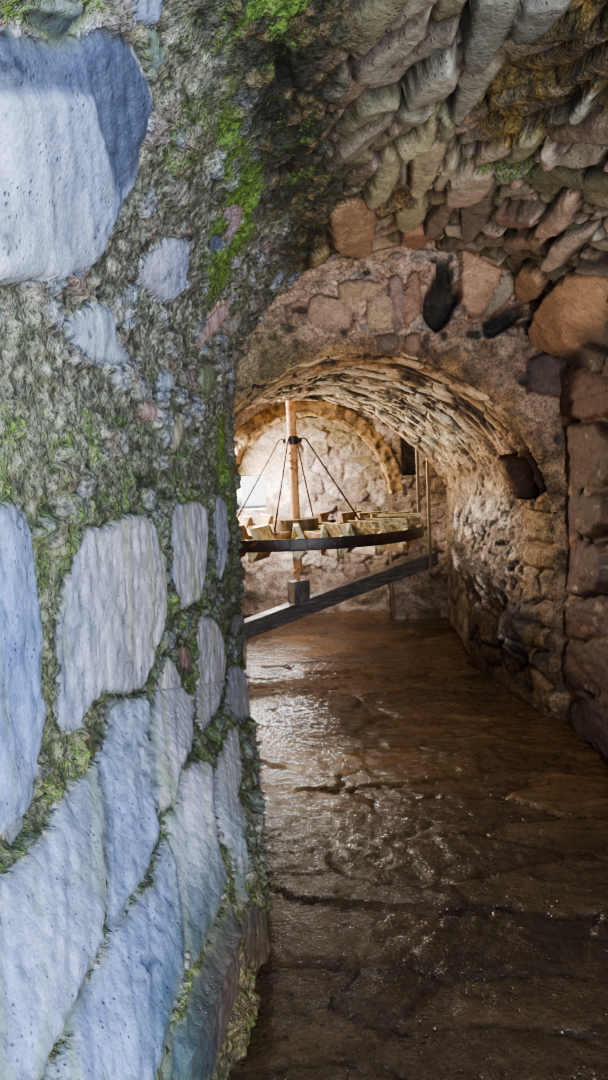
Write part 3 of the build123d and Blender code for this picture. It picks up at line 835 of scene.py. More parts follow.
def blob(px, cx, cy, rx, ry, ang=0.0, soft=0.35):
    """A soft oval on the photo's frame, 1 inside and 0 outside."""
    a = math.radians(ang)
    x, y = px[:, 0] - cx, px[:, 1] - cy
    u = (x * math.cos(a) + y * math.sin(a)) / rx
    v = (-x * math.sin(a) + y * math.cos(a)) / ry
    return smooth(1 + soft, 1 - soft, np.sqrt(u * u + v * v))


WHITE = srgb(190, 188, 198)
PALE = srgb(166, 173, 194)
GREY = srgb(135, 135, 142)
WARM = srgb(178, 165, 150)
PINK = srgb(186, 150, 138)
BROWN = srgb(128, 106, 92)
GREEN = srgb(122, 134, 104)
DARK = srgb(78, 76, 86)
MORTAR = srgb(136, 135, 122)
MOSSY = srgb(92, 102, 68)

# Stones of the left wall, footing and left flank of the vault: outline in the
# photo's pixels, colour, how far the face stands out (m), rounding of its edges (m).
LEFT_STONES = [
    ([(0, 25), (39, 44), (69, 41), (87, 23), (101, 21), (129, 41), (142, 69), (150, 78), (150, 99), (142, 138), (132, 175),
      (119, 202), (99, 232), (90, 257), (76, 273), (46, 278), (14, 284), (-20, 281), (-20, 20)], PALE, 0.05, 0.09),
    ([(14, 0), (88, 0), (87, 14), (76, 30), (67, 44), (50, 41), (37, 37), (23, 14)], GREEN, 0.03, 0.05),
    ([(122, -6), (166, -6), (161, 16), (152, 23), (133, 21), (125, 9)], PALE, 0.035, 0.03),
    ([(147, 30), (158, 25), (161, 46), (166, 55), (158, 62), (149, 76), (147, 57)], GREEN, 0.03, 0.02),
    ([(138, 273), (147, 255), (170, 234), (188, 239), (186, 259), (184, 282), (177, 296), (165, 303), (147, 296), (138, 282)], WHITE, 0.04, 0.05),
    ([(262, 175), (266, 158), (287, 158), (289, 179), (282, 195), (272, 209), (264, 195)], BROWN, 0.05, 0.03),
    ([(219, 204), (240, 200), (240, 214), (232, 237), (224, 253), (225, 230)], PINK, 0.04, 0.015),
    ([(207, 248), (214, 234), (224, 239), (218, 250)], DARK, 0.0, 0.02),
    ([(227, 262), (237, 255), (241, 262), (232, 269)], WARM, 0.03, 0.02),
    ([(200, 289), (207, 276), (210, 280), (202, 293)], WHITE, 0.03, 0.012),
    ([(193, 344), (202, 324), (220, 301), (227, 305), (220, 321), (207, 335), (197, 349)], PINK * 1.15, 0.045, 0.02),
    ([(220, 319), (239, 315), (239, 324), (230, 333), (218, 326)], WARM, 0.04, 0.02),
    ([(264, 315), (271, 308), (278, 315), (276, 324), (269, 326)], PINK * 1.1, 0.03, 0.015),
    ([(253, 349), (259, 331), (269, 328), (266, 338), (255, 351)], WARM, 0.03, 0.015),
    ([(282, 280), (298, 259), (304, 250), (304, 255), (296, 271)], GREEN * 1.3, 0.03, 0.01),
    ([(64, 320), (87, 305), (101, 303), (110, 315), (112, 340), (118, 350), (131, 355), (115, 368), (101, 365), (80, 355), (66, 335)], PALE, 0.04, 0.04),
    ([(156, 376), (170, 369), (172, 383), (170, 391), (156, 390)], PALE, 0.03, 0.02),
    ([(141, 404), (149, 401), (156, 406), (156, 422), (140, 420)], PINK, 0.025, 0.02),
    ([(169, 424), (179, 413), (181, 429), (177, 445), (171, 454), (169, 438)], WARM, 0.025, 0.02),
    ([(195, 371), (207, 360), (216, 378), (207, 394), (197, 390)], GREEN, 0.03, 0.03),
    ([(-14, 500), (14, 507), (25, 521), (30, 544), (31, 571), (34, 597), (39, 636), (40, 670), (41, 720), (37, 743), (34, 773),
      (30, 796), (23, 816), (9, 828), (-14, 840)], PALE, 0.035, 0.06),
    ([(80, 530), (96, 530), (115, 521), (133, 514), (145, 516), (152, 530), (156, 551), (162, 562), (163, 580), (161, 603),
      (160, 629), (154, 647), (147, 668), (138, 684), (126, 693), (115, 695), (101, 688), (94, 700), (83, 718), (70, 731),
      (57, 725), (54, 702), (57, 681), (59, 654), (55, 631), (57, 603), (67, 580), (71, 555), (78, 544)], WHITE, 0.05, 0.06),
    ([(170, 502), (184, 505), (200, 502), (206, 516), (204, 539), (203, 567), (200, 590), (193, 603), (181, 610), (175, 599),
      (170, 578), (168, 562), (172, 541), (169, 521)], WHITE, 0.04, 0.05),
    ([(214, 495), (223, 498), (227, 521), (226, 557), (220, 580), (215, 574), (214, 544), (211, 521)], PALE, 0.03, 0.04),
    ([(162, 572), (170, 571), (170, 585), (163, 585)], GREY, 0.0, 0.01),
    ([(195, 617), (207, 615), (217, 626), (223, 642), (225, 665), (223, 693), (216, 714), (209, 720), (200, 733), (194, 705),
      (195, 670), (194, 636)], WHITE, 0.035, 0.06),
    ([(156, 668), (169, 656), (177, 675), (184, 691), (191, 704), (193, 720), (192, 743), (186, 759), (179, 787), (172, 807),
      (158, 820), (154, 810), (150, 784), (146, 766), (147, 743), (147, 720), (149, 693), (156, 681)], WHITE, 0.045, 0.05),
    ([(176, 649), (188, 645), (192, 672), (184, 670), (176, 659)], BROWN, 0.0, 0.02),
    ([(106, 704), (124, 700), (125, 709), (115, 720), (101, 720)], GREY, 0.01, 0.015),
    ([(124, 704), (145, 697), (147, 720), (145, 743), (147, 777), (152, 800), (156, 821), (158, 835), (149, 855), (140, 876),
      (133, 894), (122, 911), (110, 929), (104, 927), (101, 904), (101, 858), (101, 823), (99, 800), (96, 766), (101, 738),
      (108, 715)], PALE, 0.035, 0.05),
    ([(-12, 884), (14, 872), (28, 853), (44, 839), (64, 796), (80, 775), (94, 761), (99, 800), (100, 858), (99, 915), (101, 950),
      (90, 975), (78, 1007), (73, 1019), (51, 1060), (34, 1090), (-12, 1090)], WHITE, 0.045, 0.07),
    ([(108, 931), (124, 915), (138, 901), (149, 890), (161, 839), (170, 844), (179, 872), (181, 904), (184, 938), (184, 970),
      (177, 996), (170, 1030), (158, 1064), (150, 1095), (44, 1095), (78, 1020), (90, 980), (104, 950)], PALE, 0.04, 0.06),
    ([(188, 766), (207, 759), (214, 777), (216, 823), (218, 858), (227, 885), (214, 917), (202, 945), (188, 977), (184, 970),
      (181, 927), (179, 881), (172, 849), (161, 821), (175, 812), (181, 787)], WHITE, 0.04, 0.05),
    ([(216, 922), (230, 899), (234, 927), (237, 973), (225, 1019), (207, 1090), (154, 1090), (170, 1025), (184, 1016), (191, 984),
      (202, 950)], GREEN * 0.9, 0.03, 0.06),
    ([(214, 761), (228, 736), (238, 724), (242, 761), (238, 796), (242, 816), (246, 849), (246, 895), (239, 913), (236, 912),
      (234, 881), (232, 858), (218, 839), (214, 812)], WHITE, 0.012, 0.07),
    ([(237, 920), (250, 905), (262, 910), (268, 935), (266, 960), (250, 975), (240, 955)], DARK, 0.04, 0.06),
    ([(226, 670), (241, 663), (248, 693), (248, 720), (226, 720)], PALE, 0.02, 0.05),
    ([(230, 617), (241, 613), (243, 626), (232, 638)], GREY, 0.02, 0.03),
]

# Stones of the barrel vault that catch the light, and of the cross wall over the arch.
VAULT_CROP = [  # outline in a 4.148 times enlarged crop from (230, 0), colour, stands out, rounding
    ([(1030, -20), (1215, -20), (1195, 90), (1150, 170), (1080, 250), (1040, 290), (970, 295), (975, 200), (1010, 110)], (116, 110, 98), 0.07, 0.012),
    ([(1230, -20), (1420, -20), (1395, 70), (1330, 130), (1270, 180), (1200, 190), (1160, 178), (1205, 90)], (110, 105, 96), 0.07, 0.03),
    ([(905, 235), (945, 290), (940, 350), (900, 400), (820, 440), (760, 480), (720, 475), (760, 400), (800, 330), (850, 270)], (162, 154, 138), 0.065, 0.012),
    ([(700, 480), (780, 472), (850, 442), (830, 500), (760, 540), (690, 548)], (138, 130, 112), 0.05, 0.015),
    ([(950, 330), (1060, 290), (1130, 290), (1100, 340), (1060, 400), (1000, 450), (940, 520), (900, 500), (930, 420)], (128, 120, 104), 0.045, 0.02),
    ([(850, 465), (868, 520), (850, 590), (790, 630), (700, 655), (690, 620), (760, 590), (800, 540)], (158, 146, 114), 0.065, 0.03),
    ([(872, 480), (935, 490), (930, 560), (880, 600), (862, 590), (872, 530)], (140, 134, 108), 0.05, 0.015),
    ([(640, 670), (700, 665), (698, 740), (670, 800), (600, 850), (560, 860), (600, 770)], (148, 138, 110), 0.055, 0.02),
    ([(760, 640), (870, 602), (895, 602), (880, 670), (840, 740), (800, 790), (740, 790), (750, 710)], (158, 140, 114), 0.06, 0.012),
    ([(900, 690), (945, 662), (925, 730), (880, 795), (840, 775), (870, 730)], (164, 150, 124), 0.055, 0.012),
    ([(440, 900), (560, 870), (600, 880), (600, 960), (580, 1020), (520, 1030), (430, 1030), (425, 960)], (150, 124, 98), 0.055, 0.02),
    ([(800, 840), (815, 880), (790, 930), (740, 960), (690, 950), (680, 890), (740, 860)], (148, 140, 112), 0.06, 0.015),
    ([(840, 900), (900, 860), (935, 870), (900, 930), (850, 970), (800, 980), (810, 940)], (122, 106, 92), 0.04, 0.012),
    ([(1190, 560), (1290, 550), (1280, 610), (1200, 690), (1140, 690), (1130, 650)], (140, 132, 106), 0.055, 0.03),
    ([(1050, 620), (1165, 585), (1160, 625), (1090, 670), (1040, 690), (1010, 690)], (160, 142, 122), 0.05, 0.010),
    ([(930, 730), (1080, 725), (1085, 790), (1030, 855), (900, 855), (900, 800)], (158, 140, 120), 0.06, 0.012),
    ([(1290, 610), (1340, 640), (1355, 690), (1300, 710), (1285, 680)], (182, 160, 140), 0.06, 0.008),
    ([(1490, 360), (1520, 375), (1480, 480), (1440, 510), (1400, 500), (1430, 430)], (160, 156, 140), 0.06, 0.012),
    ([(1360, 830), (1410, 850), (1400, 960), (1330, 975), (1270, 960), (1290, 920)], (152, 124, 104), 0.065, 0.03),
    ([(1080, 900), (1290, 880), (1270, 930), (1200, 950), (1060, 930)], (144, 118, 104), 0.05, 0.010),
    ([(1130, 1000), (1230, 985), (1320, 990), (1280, 1040), (1150, 1035)], (138, 116, 96), 0.055, 0.012),
    ([(1340, 1000), (1480, 965), (1480, 990), (1400, 1060), (1370, 1110), (1310, 1100)], (150, 130, 114), 0.055, 0.012),
    ([(950, 860), (1060, 840), (1070, 900), (1010, 990), (970, 980)], (112, 98, 88), 0.03, 0.012),
    ([(1190, 1120), (1270, 1130), (1300, 1180), (1270, 1250), (1200, 1260), (1175, 1220)], (160, 130, 104), 0.055, 0.02),
    ([(560, 1020), (700, 1000), (710, 1040), (600, 1060)], (138, 120, 98), 0.04, 0.010),
    ([(700, 970), (770, 960), (840, 980), (800, 1030), (740, 1025)], (148, 116, 94), 0.045, 0.012),
    ([(330, 1080), (400, 1030), (420, 1040), (400, 1090), (340, 1130)], (148, 136, 104), 0.04, 0.010),
    ([(1275, 1360), (1310, 1230), (1370, 1170), (1430, 1145), (1500, 1165), (1540, 1215), (1530, 1330), (1490, 1450), (1440, 1510), (1360, 1490),
      (1290, 1440)], (158, 124, 96), 0.05, 0.03),
    ([(1560, 1180), (1620, 1180), (1620, 1510), (1500, 1510), (1545, 1330)], (150, 146, 138), 0.05, 0.02),
    ([(1440, 1100), (1560, 1120), (1600, 1160), (1520, 1150), (1440, 1125)], (100, 84, 70), 0.05, 0.012),
]
VAULT_STONES = [([(230 + x / 4.148, y / 4.148) for x, y in o_], srgb(*c_), s_, r_) for o_, c_, s_, r_ in VAULT_CROP]
RIGHT_STONES = [
    ([(528, 378), (560, 368), (616, 372), (616, 416), (575, 420), (540, 410)], srgb(104, 80, 64), 0.03, 0.04),
    ([(551, 425), (616, 422), (616, 488), (560, 490), (550, 455)], srgb(92, 76, 64), 0.02, 0.04),
    ([(549, 497), (616, 494), (616, 533), (557, 536), (551, 520)], srgb(88, 74, 68), 0.02, 0.04),
    ([(553, 545), (616, 542), (616, 592), (562, 594), (553, 575)], srgb(82, 70, 68), 0.025, 0.04),
    ([(551, 600), (575, 597), (616, 599), (616, 636), (554, 638), (549, 620)], srgb(84, 72, 70), 0.02, 0.04),
    ([(545, 660), (556, 640), (616, 641), (616, 696), (580, 692), (548, 684)], srgb(80, 68, 68), 0.03, 0.05),
    ([(552, 700), (616, 700), (616, 760), (575, 750), (556, 730)], srgb(78, 70, 70), 0.02, 0.05),
]
CROSS_STONES = [
    ([(458, 250), (466, 247), (504, 248), (505, 262), (494, 285), (484, 315), (466, 316), (459, 305), (459, 282)], srgb(158, 122, 98), 0.10, 0.012),
    ([(510, 264), (520, 262), (518, 285), (505, 305), (488, 318), (486, 312), (496, 286)], srgb(140, 124, 106), 0.07, 0.015),
    ([(512, 302), (524, 296), (544, 280), (540, 296), (528, 304), (516, 306)], srgb(128, 104, 92), 0.05, 0.015),
    ([(418, 268), (421, 285), (422, 312), (412, 326), (402, 326), (406, 300), (408, 280)], srgb(140, 104, 84), 0.05, 0.012),
    ([(388, 278), (400, 276), (404, 300), (402, 326), (394, 334), (390, 310)], srgb(124, 98, 88), 0.045, 0.012),
    ([(366, 300), (384, 290), (390, 300), (392, 328), (382, 332), (368, 326)], srgb(150, 124, 98), 0.04, 0.03),
    ([(340, 282), (372, 280), (384, 286), (368, 300), (350, 304), (338, 296)], srgb(146, 116, 92), 0.03, 0.03),
    ([(310, 296), (338, 300), (350, 306), (352, 326), (330, 330), (308, 324)], srgb(150, 118, 96), 0.035, 0.04),
    ([(378, 336), (396, 334), (400, 346), (388, 352), (376, 348)], srgb(110, 88, 74), 0.03, 0.02),
    ([(406, 336), (420, 334), (424, 348), (412, 356), (404, 350)], srgb(132, 100, 82), 0.03, 0.02),
    ([(525, 362), (545, 352), (572, 358), (582, 378), (572, 396), (545, 398), (528, 388)], srgb(96, 76, 68), 0.06, 0.05),
]


def place_stones(items, how):
    out = []
    for k, (poly, colour, stand, rr) in enumerate(items):
        out.append((how(rounded(poly)), np.asarray(colour, float), stand, rr, k))
    return out


LEFT = place_stones(LEFT_STONES, cast_left)
LEFT_HIGH = [(a, b, c * (0.8 if e == 0 else 0.35), d * (0.7 if e == 0 else 0.4), e) for a, b, c, d, e in LEFT if a[:, 1].mean() > -0.12]
LEFT_LOW = [(a, b * np.array([0.88, 0.86, 0.86]), 0.006 + 0.15 * c, 0.22 * d, e) for a, b, c, d, e in LEFT if a[:, 1].mean() <= -0.12]
mortar_area = cast_left([(28, 288), (60, 300), (130, 296), (225, 256), (262, 250), (300, 262), (262, 340), (236, 420), (238, 500),
                         (205, 494), (170, 492), (140, 505), (80, 520), (50, 470), (20, 400)])


def vault_uv(p):
    th = np.arctan2(p[:, 2] - PASS_SPRING, p[:, 0] - PASS_CX)
    return np.stack([p[:, 1], th * PASS_RAD], -1)


def cast_vault(px, stand):
    """Where the lines of sight meet the underside of the barrel vault, or a face standing out from it."""
    d = rays(px)
    t = np.arange(1.15, 6.0, 0.004)
    out = np.zeros((len(d), 3))
    for k in range(len(d)):
        p = CAM + t[:, None] * d[k]
        hit = (p[:, 2] > PASS_SPRING) & (np.hypot(p[:, 0] - PASS_CX, p[:, 2] - PASS_SPRING) > PASS_RAD - stand)
        hit |= (p[:, 1] > Y_CROSS - 0.01) | (p[:, 0] > PASS_CX + PASS_RAD - stand)
        out[k] = p[np.argmax(hit)]
    return out


VAULT = [(vault_uv(cast_vault(rounded(o_), 0.8 * s_)), np.asarray(c_, float), s_, r_, k_) for k_, (o_, c_, s_, r_) in enumerate(VAULT_STONES)]
CROSS = place_stones(CROSS_STONES, lambda q: cast(q)[:, [0, 2]])


def right_uv(p):
    return np.stack([p[:, 1], np.where(p[:, 2] >= PASS_SPRING, np.arctan2(p[:, 2] - PASS_SPRING, p[:, 0] - PASS_CX) * PASS_RAD,
                                       p[:, 2] - PASS_SPRING)], -1)


DARK_SIDE = place_stones(RIGHT_STONES, lambda q: right_uv(cast(q)))
clock("outlines")


def ragged(q):
    """How far the edge of a listed stone strays from its drawn outline."""
    s = uv3(q[:, 0], q[:, 1])
    return 0.006 * noise(s, 16, 991) + 0.003 * noise(s, 32, 992)


def warp_left(q):
    s = uv3(q[:, 0], q[:, 1])
    return 0.010 * np.stack([noise(s, 9, 3), noise(s, 9, 4)], -1) + 0.004 * np.stack([noise(s, 31, 5), noise(s, 31, 6)], -1)


def warp_vault(q):
    s = uv3(q[:, 0], q[:, 1])
    return 0.022 * np.stack([noise(s, 4, 61), noise(s, 4, 62)], -1) + 0.005 * np.stack([noise(s, 21, 63), noise(s, 21, 64)], -1)


def snap(stones, q, warp, steps, grow=0.0):
    """Slides places that lie next to a stone's outline onto it, so that the edge runs clean."""
    out = np.zeros_like(q)
    nearest = np.full(len(q), 1e9)
    e = 0.0015
    for poly, *_ in stones:
        a, b = poly.min(0) - 0.05, poly.max(0) + 0.05
        sel = np.flatnonzero((q[:, 0] > a[0]) & (q[:, 0] < b[0]) & (q[:, 1] > a[1]) & (q[:, 1] < b[1]))
        if not len(sel):
            continue

        def field(x):
            x = x + warp(x)
            return inside_outline(poly, x) + grow + ragged(x)

        d0 = field(q[sel])
        close = np.abs(d0) < 0.014
        sel, d0 = sel[close], d0[close]
        if not len(sel):
            continue
        x = q[sel]
        g = np.stack([(field(x + o) - field(x - o)) / (2 * e) for o in (np.array([e, 0]), np.array([0, e]))], -1)
        length = np.sqrt((g * g).sum(1)) + 1e-6
        dist, unit = d0 / length, g / length[:, None]
        reach = 0.42 / np.sqrt((unit[:, 0] / steps[0]) ** 2 + (unit[:, 1] / steps[1]) ** 2)
        ok = (np.abs(dist) < reach) & (np.abs(dist) < nearest[sel])
        out[sel[ok]] = (-dist[:, None] * unit)[ok]
        nearest[sel[ok]] = np.abs(dist)[ok]
    return out


def slide(zone, p, free):
    """Moves the places of a face along it, onto the outlines of its stones."""
    p = p.copy()
    if zone in ("left", "foot"):
        sy, sz = STEPS["left"][1], STEPS["left"][2]
        q = shell(p)
        m = snap(LEFT_HIGH, q, warp_left, (sy, sz))
        m2 = snap(LEFT_LOW, q, warp_left, (sy, sz), 0.002)
        m = np.where(np.any(m != 0, axis=1)[:, None], m, m2) * free[:, None]
        y, z = p[:, 1] + m[:, 0], p[:, 2] + m[:, 1]
        hit = np.any(m != 0, axis=1)
        x = foot_x(y, z) if zone == "foot" else p[:, 0]
        p = np.where(hit[:, None], np.stack([x, y, z], -1), p)
    else:
        sv, sy = STEPS["vault"]
        th = np.arctan2(p[:, 2] - PASS_SPRING, p[:, 0] - PASS_CX)
        a = snap(LEFT_HIGH, shell(p), warp_left, (sy, sv)) * (free & (th > 2.19))[:, None]
        b = snap(VAULT, vault_uv(p), lambda x: 0.3 * warp_vault(x), (sy, sv)) * (free & (th <= 2.19))[:, None]
        th2 = th - a[:, 1] / PASS_RAD + b[:, 1] / PASS_RAD
        r = np.hypot(p[:, 0] - PASS_CX, p[:, 2] - PASS_SPRING)
        hit = np.any((a + b) != 0, axis=1)
        new = np.stack([PASS_CX + r * np.cos(th2), p[:, 1] + a[:, 0] + b[:, 0], PASS_SPRING + r * np.sin(th2)], -1)
        p = np.where(hit[:, None], new, p)
    return p


def lay(stones, q, h, tint, key_noise, grow=0.0, slope=0.05, soft=0.008, line=None, dig=0.010, wash=0.008):
    """Sets listed stones into a surface. q are the flat places, h the height
    so far. Returns the height, the colour and how far inside a stone each place is."""
    n = len(q)
    depth = np.full(n, -1.0)
    wild = ragged(q)
    wear = 0.5 + 0.5 * noise(uv3(q[:, 0], q[:, 1]), 7, 993)
    for poly, colour, stand, rr, k in stones:
        a, b = poly.min(0) - 0.08, poly.max(0) + 0.08
        sel = np.flatnonzero((q[:, 0] > a[0]) & (q[:, 0] < b[0]) & (q[:, 1] > a[1]) & (q[:, 1] < b[1]))
        if not len(sel):
            continue
        d = inside_outline(poly, q[sel]) + grow + wild[sel]
        c = poly.mean(0)
        r = rnd(np.array([k, k, k]), np.array([1, 2, 3]), np.array([7, 7, 7]), 77) - 0.5
        rel = q[sel] - c
        face = stand + slope * (r[0] * rel[:, 0] + r[1] * rel[:, 1]) * 2
        size = max(0.03, min(np.ptp(poly[:, 0]), np.ptp(poly[:, 1])) * 0.5)
        r_edge = min(rr, size * 0.8) * (0.45 + 0.8 * wear[sel])
        din = np.maximum(d, 0)
        top = face - r_edge * 0.6 + dome(din, r_edge, r_edge * 0.6) + 0.008 * np.clip(din / size, 0, 1)
        hit = d > 0
        # the joint round a stone is washed out a little
        moat = (d <= 0.004) & (d > -0.03)
        base = h[sel] - np.where(moat, wash * (1 + d / 0.03), 0)
        step = smooth(-soft, -0.0006, d)
        h[sel] = base * (1 - step) + np.maximum(top, h[sel] * 0.3) * step
        t = smooth(-0.007, -0.0006, d)[:, None]
        tint[sel] = colour * t + tint[sel] * (1 - t)
        if line is not None:
            thin = smooth(-0.022, -0.012, d) * smooth(0.001, -0.004, d) * (0.45 + 0.55 * wear[sel])
            h[sel] -= dig * thin
            tint[sel] = tint[sel] * (1 - thin[:, None]) + line * thin[:, None]
        depth[sel] = np.where(hit, d, np.maximum(depth[sel], d))
    return h, tint, depth


# ------------------------------------------------------------------ the face of each kind of masonry
# Each returns how far the surface stands out from the CAD face (m), its colour,
# how wet it is and how much moss grows on it.


def face_left(p):
    n = len(p)
    q0 = shell(p)
    px = project(p)
    s = uv3(q0[:, 0], q0[:, 1])
    q = q0 + warp_left(q0)
    # places told apart by the line of sight, so that streaks hang straight down on the batter too
    dx, dy = p[:, 0] - CAM[0], p[:, 1] - CAM[1]
    yq = np.where(p[:, 0] < 0.2, CAM[1] + (PASS_L - CAM[0]) * dy / np.minimum(dx, -0.05), p[:, 1])
    sv = uv3(np.clip(yq, -4.2, 6.0), q0[:, 1])
    rough = fbm(s, 6, 5, 11, 0.62)
    fine = fbm(s, 34, 3, 12, 0.7)
    below = smooth(0.0, -0.45, q0[:, 1])
    mort = -0.004 + (0.020 - 0.010 * below) * rough + 0.009 * fine
    pits = smooth(0.25, 0.55, noise(s, 20, 13)) * smooth(-0.3, 0.4, noise(s, 5, 14))
    mort -= 0.014 * pits
    # pebbles and small stones that show in the mortar
    k1, e1, _, _ = cells(q[:, 0], q[:, 1], 0.036, 0.030, 22, 0.95, 0.5, 0.6)
    mort = mort + np.maximum(dome(e1 - 0.002, 0.012, 0.010) * (k1 > 0.35) * (0.4 + key2(k1, 2)), 0)
    kk, ed, du, dv = cells(q[:, 0], q[:, 1], 0.105, 0.07, 21, 0.95, 0.5, 0.5)
    show = kk > 0.66
    peb = (0.010 + dome(ed - 0.004, 0.012, 0.014)) * show * (ed > 0.004)
    h = mort + peb
    tint = mix(flat_colour(MORTAR * 1.05, n), MOSSY, 0.45 * smooth(-0.1, 0.5, fbm(s, 2.3, 3, 15)))
    tint = mix(tint, srgb(164, 162, 156), (k1 > 0.70) * 0.65 * (e1 > 0.003))
    tint = mix(tint, srgb(100, 92, 76), (key2(k1, 5) > 0.78) * 0.6)
    tint = mix(tint * 0.86, MORTAR * 0.22, pits * 0.9)
    grit_ = noise(s, 46, 36)
    tint = mix(tint, np.minimum(tint * 1.7, 0.8), 0.8 * smooth(0.25, 0.5, grit_))
    tint = mix(tint, tint * 0.5, 0.8 * smooth(0.2, 0.5, -grit_))
    small = mix(flat_colour(PALE * 0.9, n), BROWN * 1.1, key2(kk, 3))
    tint = mix(tint, small, 0.75 * (show & (ed > 0.006)))
    # larger stones wherever none is listed
    kb, eb, bu, bv = cells(q[:, 0] + 0.05, q[:, 1], 0.44, 0.26, 33, 0.75, 0.5, 0.5)
    m_in = inside_outline(mortar_area, q0)
    top_zone = smooth(0.10, 0.35, q0[:, 1])     # higher up there is more mortar
    unseen = (px[:, 1] > 1110) | (px[:, 0] < -30) | (q0[:, 0] < -3.66)
    want = (key2(kb, 1) > 0.12 + 0.78 * top_zone) & unseen
    near_hand = np.zeros(n, bool)
    for poly, *_ in LEFT:
        a, b = poly.min(0) - 0.03, poly.max(0) + 0.03
        sel = np.flatnonzero((q[:, 0] > a[0]) & (q[:, 0] < b[0]) & (q[:, 1] > a[1]) & (q[:, 1] < b[1]))
        if len(sel):
            near_hand[sel] |= inside_outline(poly, q[sel]) > -0.016
    gap = 0.009 + 0.004 * noise(s, 12, 34)
    stone = want & (eb > gap) & ~near_hand
    face = 0.004 + 0.022 * (key2(kb, 2) - 0.3) + 0.03 * bu * (key2(kb, 3) - 0.5) + 0.05 * bv * (key2(kb, 4) - 0.5)
    h = np.where(stone, np.maximum(h, face - 0.016 + dome(eb - gap, 0.026, 0.020)), h)
    pale = mix(flat_colour(PALE, n), WHITE, key2(kb, 5))
    pale = mix(pale, WARM, 0.5 * (key2(kb, 6) > 0.7))
    tint = np.where(stone[:, None], pale, tint)
    h, tint, depth = lay(LEFT_LOW, q, h, tint, None, slope=0.02, grow=0.002, line=srgb(62, 68, 52), dig=0.004, wash=0.003)
    h, tint, depth2 = lay(LEFT_HIGH, q, h, tint, None, slope=0.03, wash=0.003)
    depth = np.maximum(depth, depth2)
    on_stone = stone | (depth > 0)
    # the stones' own skin: shallow hollows, soft pits, stains and streaks
    hollow = 0.007 * fbm(sv, 4, 3, 41) + 0.0034 * fbm(sv * np.array([1, 0.75, 1]), 17, 4, 42, 0.65)
    scar = smooth(0.30, 0.36, noise(sv * np.array([1, 0.5, 1]), 13, 40)) * 0.004 + smooth(0.22, 0.27, noise(sv * np.array([1, 0.6, 1]), 27, 39)) * 0.003
    pit = smooth(0.42, 0.72, noise(s, 42, 43)) * smooth(-0.1, 0.6, noise(s, 8, 44))
    h = np.where(on_stone, h + hollow - scar - 0.006 * pit + 0.0018 * noise(s, 75, 45), h)
    cloud = fbm(s, 3.2, 4, 47, 0.6)
    tint = np.where(on_stone[:, None], tint * (1 + 0.16 * cloud)[:, None], tint)
    scale_ = noise(sv * np.array([1, 0.5, 1]), 30, 38)
    tint = mix(tint, tint * 0.76, on_stone * smooth(0.15, 0.40, scale_))
    tint = mix(tint, np.minimum(tint * 1.22, 0.85), on_stone * smooth(0.1, 0.5, -scale_) * 0.8)
    tint = mix(tint, srgb(176, 168, 168), on_stone * 0.35 * smooth(0.1, 0.5, fbm(s, 7, 3, 48)))
    tint = mix(tint, srgb(142, 154, 190), on_stone * 0.35 * smooth(0.0, 0.5, fbm(s, 2.2, 3, 49)))
    streak = fbm(sv * np.array([1, 0.16, 1]), 13, 4, 46, 0.6)
    wall = smooth(0.35, -0.4, q0[:, 1])
    soiled = smooth(0.06, 0.40, streak + 0.35 * fbm(s, 9, 3, 37))
    tint = mix(tint, srgb(150, 156, 116), on_stone * 0.62 * soiled * wall)
    # damp stain and painted shade at the footing's end by the floor: darker, greener, then blue-black
    damp_and_shade = blob(px, 215, 980, 60, 150, 12, 0.6)
    tint = mix(tint, srgb(66, 80, 72), on_stone * 0.85 * damp_and_shade)
    tint = mix(tint, srgb(50, 64, 70), 0.90 * np.maximum(blob(px, 232, 1010, 34, 110, 10, 0.5), blob(px, 252, 935, 16, 46, 0, 0.4)))
    tint = mix(tint, srgb(122, 120, 128), on_stone * 0.40 * smooth(0.25, 0.6, -streak))
    # the shaded upper facet of the big stone at the top
    facet = smooth(-5, 9, inside_outline([(-30, 10), (110, 10), (150, 60), (150, 110), (132, 178), (112, 206), (94, 156), (80, 119), (75, 92),
                                          (40, 86), (-30, 92)], px + 4 * np.stack([noise(s, 12, 35), noise(s, 12, 36)], -1)))
    tint = mix(tint, tint * np.array([0.27, 0.28, 0.31]), on_stone * facet)
    # painted light: the low stones near the mouth are darker and bluer, as under sky light
    near = smooth(-2.3, -3.4, q0[:, 0]) * smooth(0.0, -0.6, q0[:, 1])
    tint = mix(tint, tint * np.array([0.47, 0.60, 0.88]), on_stone * near)
    tint = mix(tint, tint * np.array([0.76, 0.82, 0.98]), on_stone * smooth(0.0, 0.5, q0[:, 1]))
    h -= 0.020 * facet * on_stone
    edge_dirt = smooth(0.022, 0.004, np.where(stone, eb - gap, np.where(depth > 0, depth, 1.0)))
    tint = mix(tint, srgb(98, 100, 84), on_stone * 0.50 * edge_dirt)
    tint = mix(tint, tint * 0.30, on_stone * pit * 0.85)
    # the joints low down are dark and green
    low = smooth(0.15, -0.6, q0[:, 1])
    tint = mix(tint, srgb(66, 76, 42), (~on_stone) * low * np.clip(0.55 + 0.5 * fine, 0, 1))
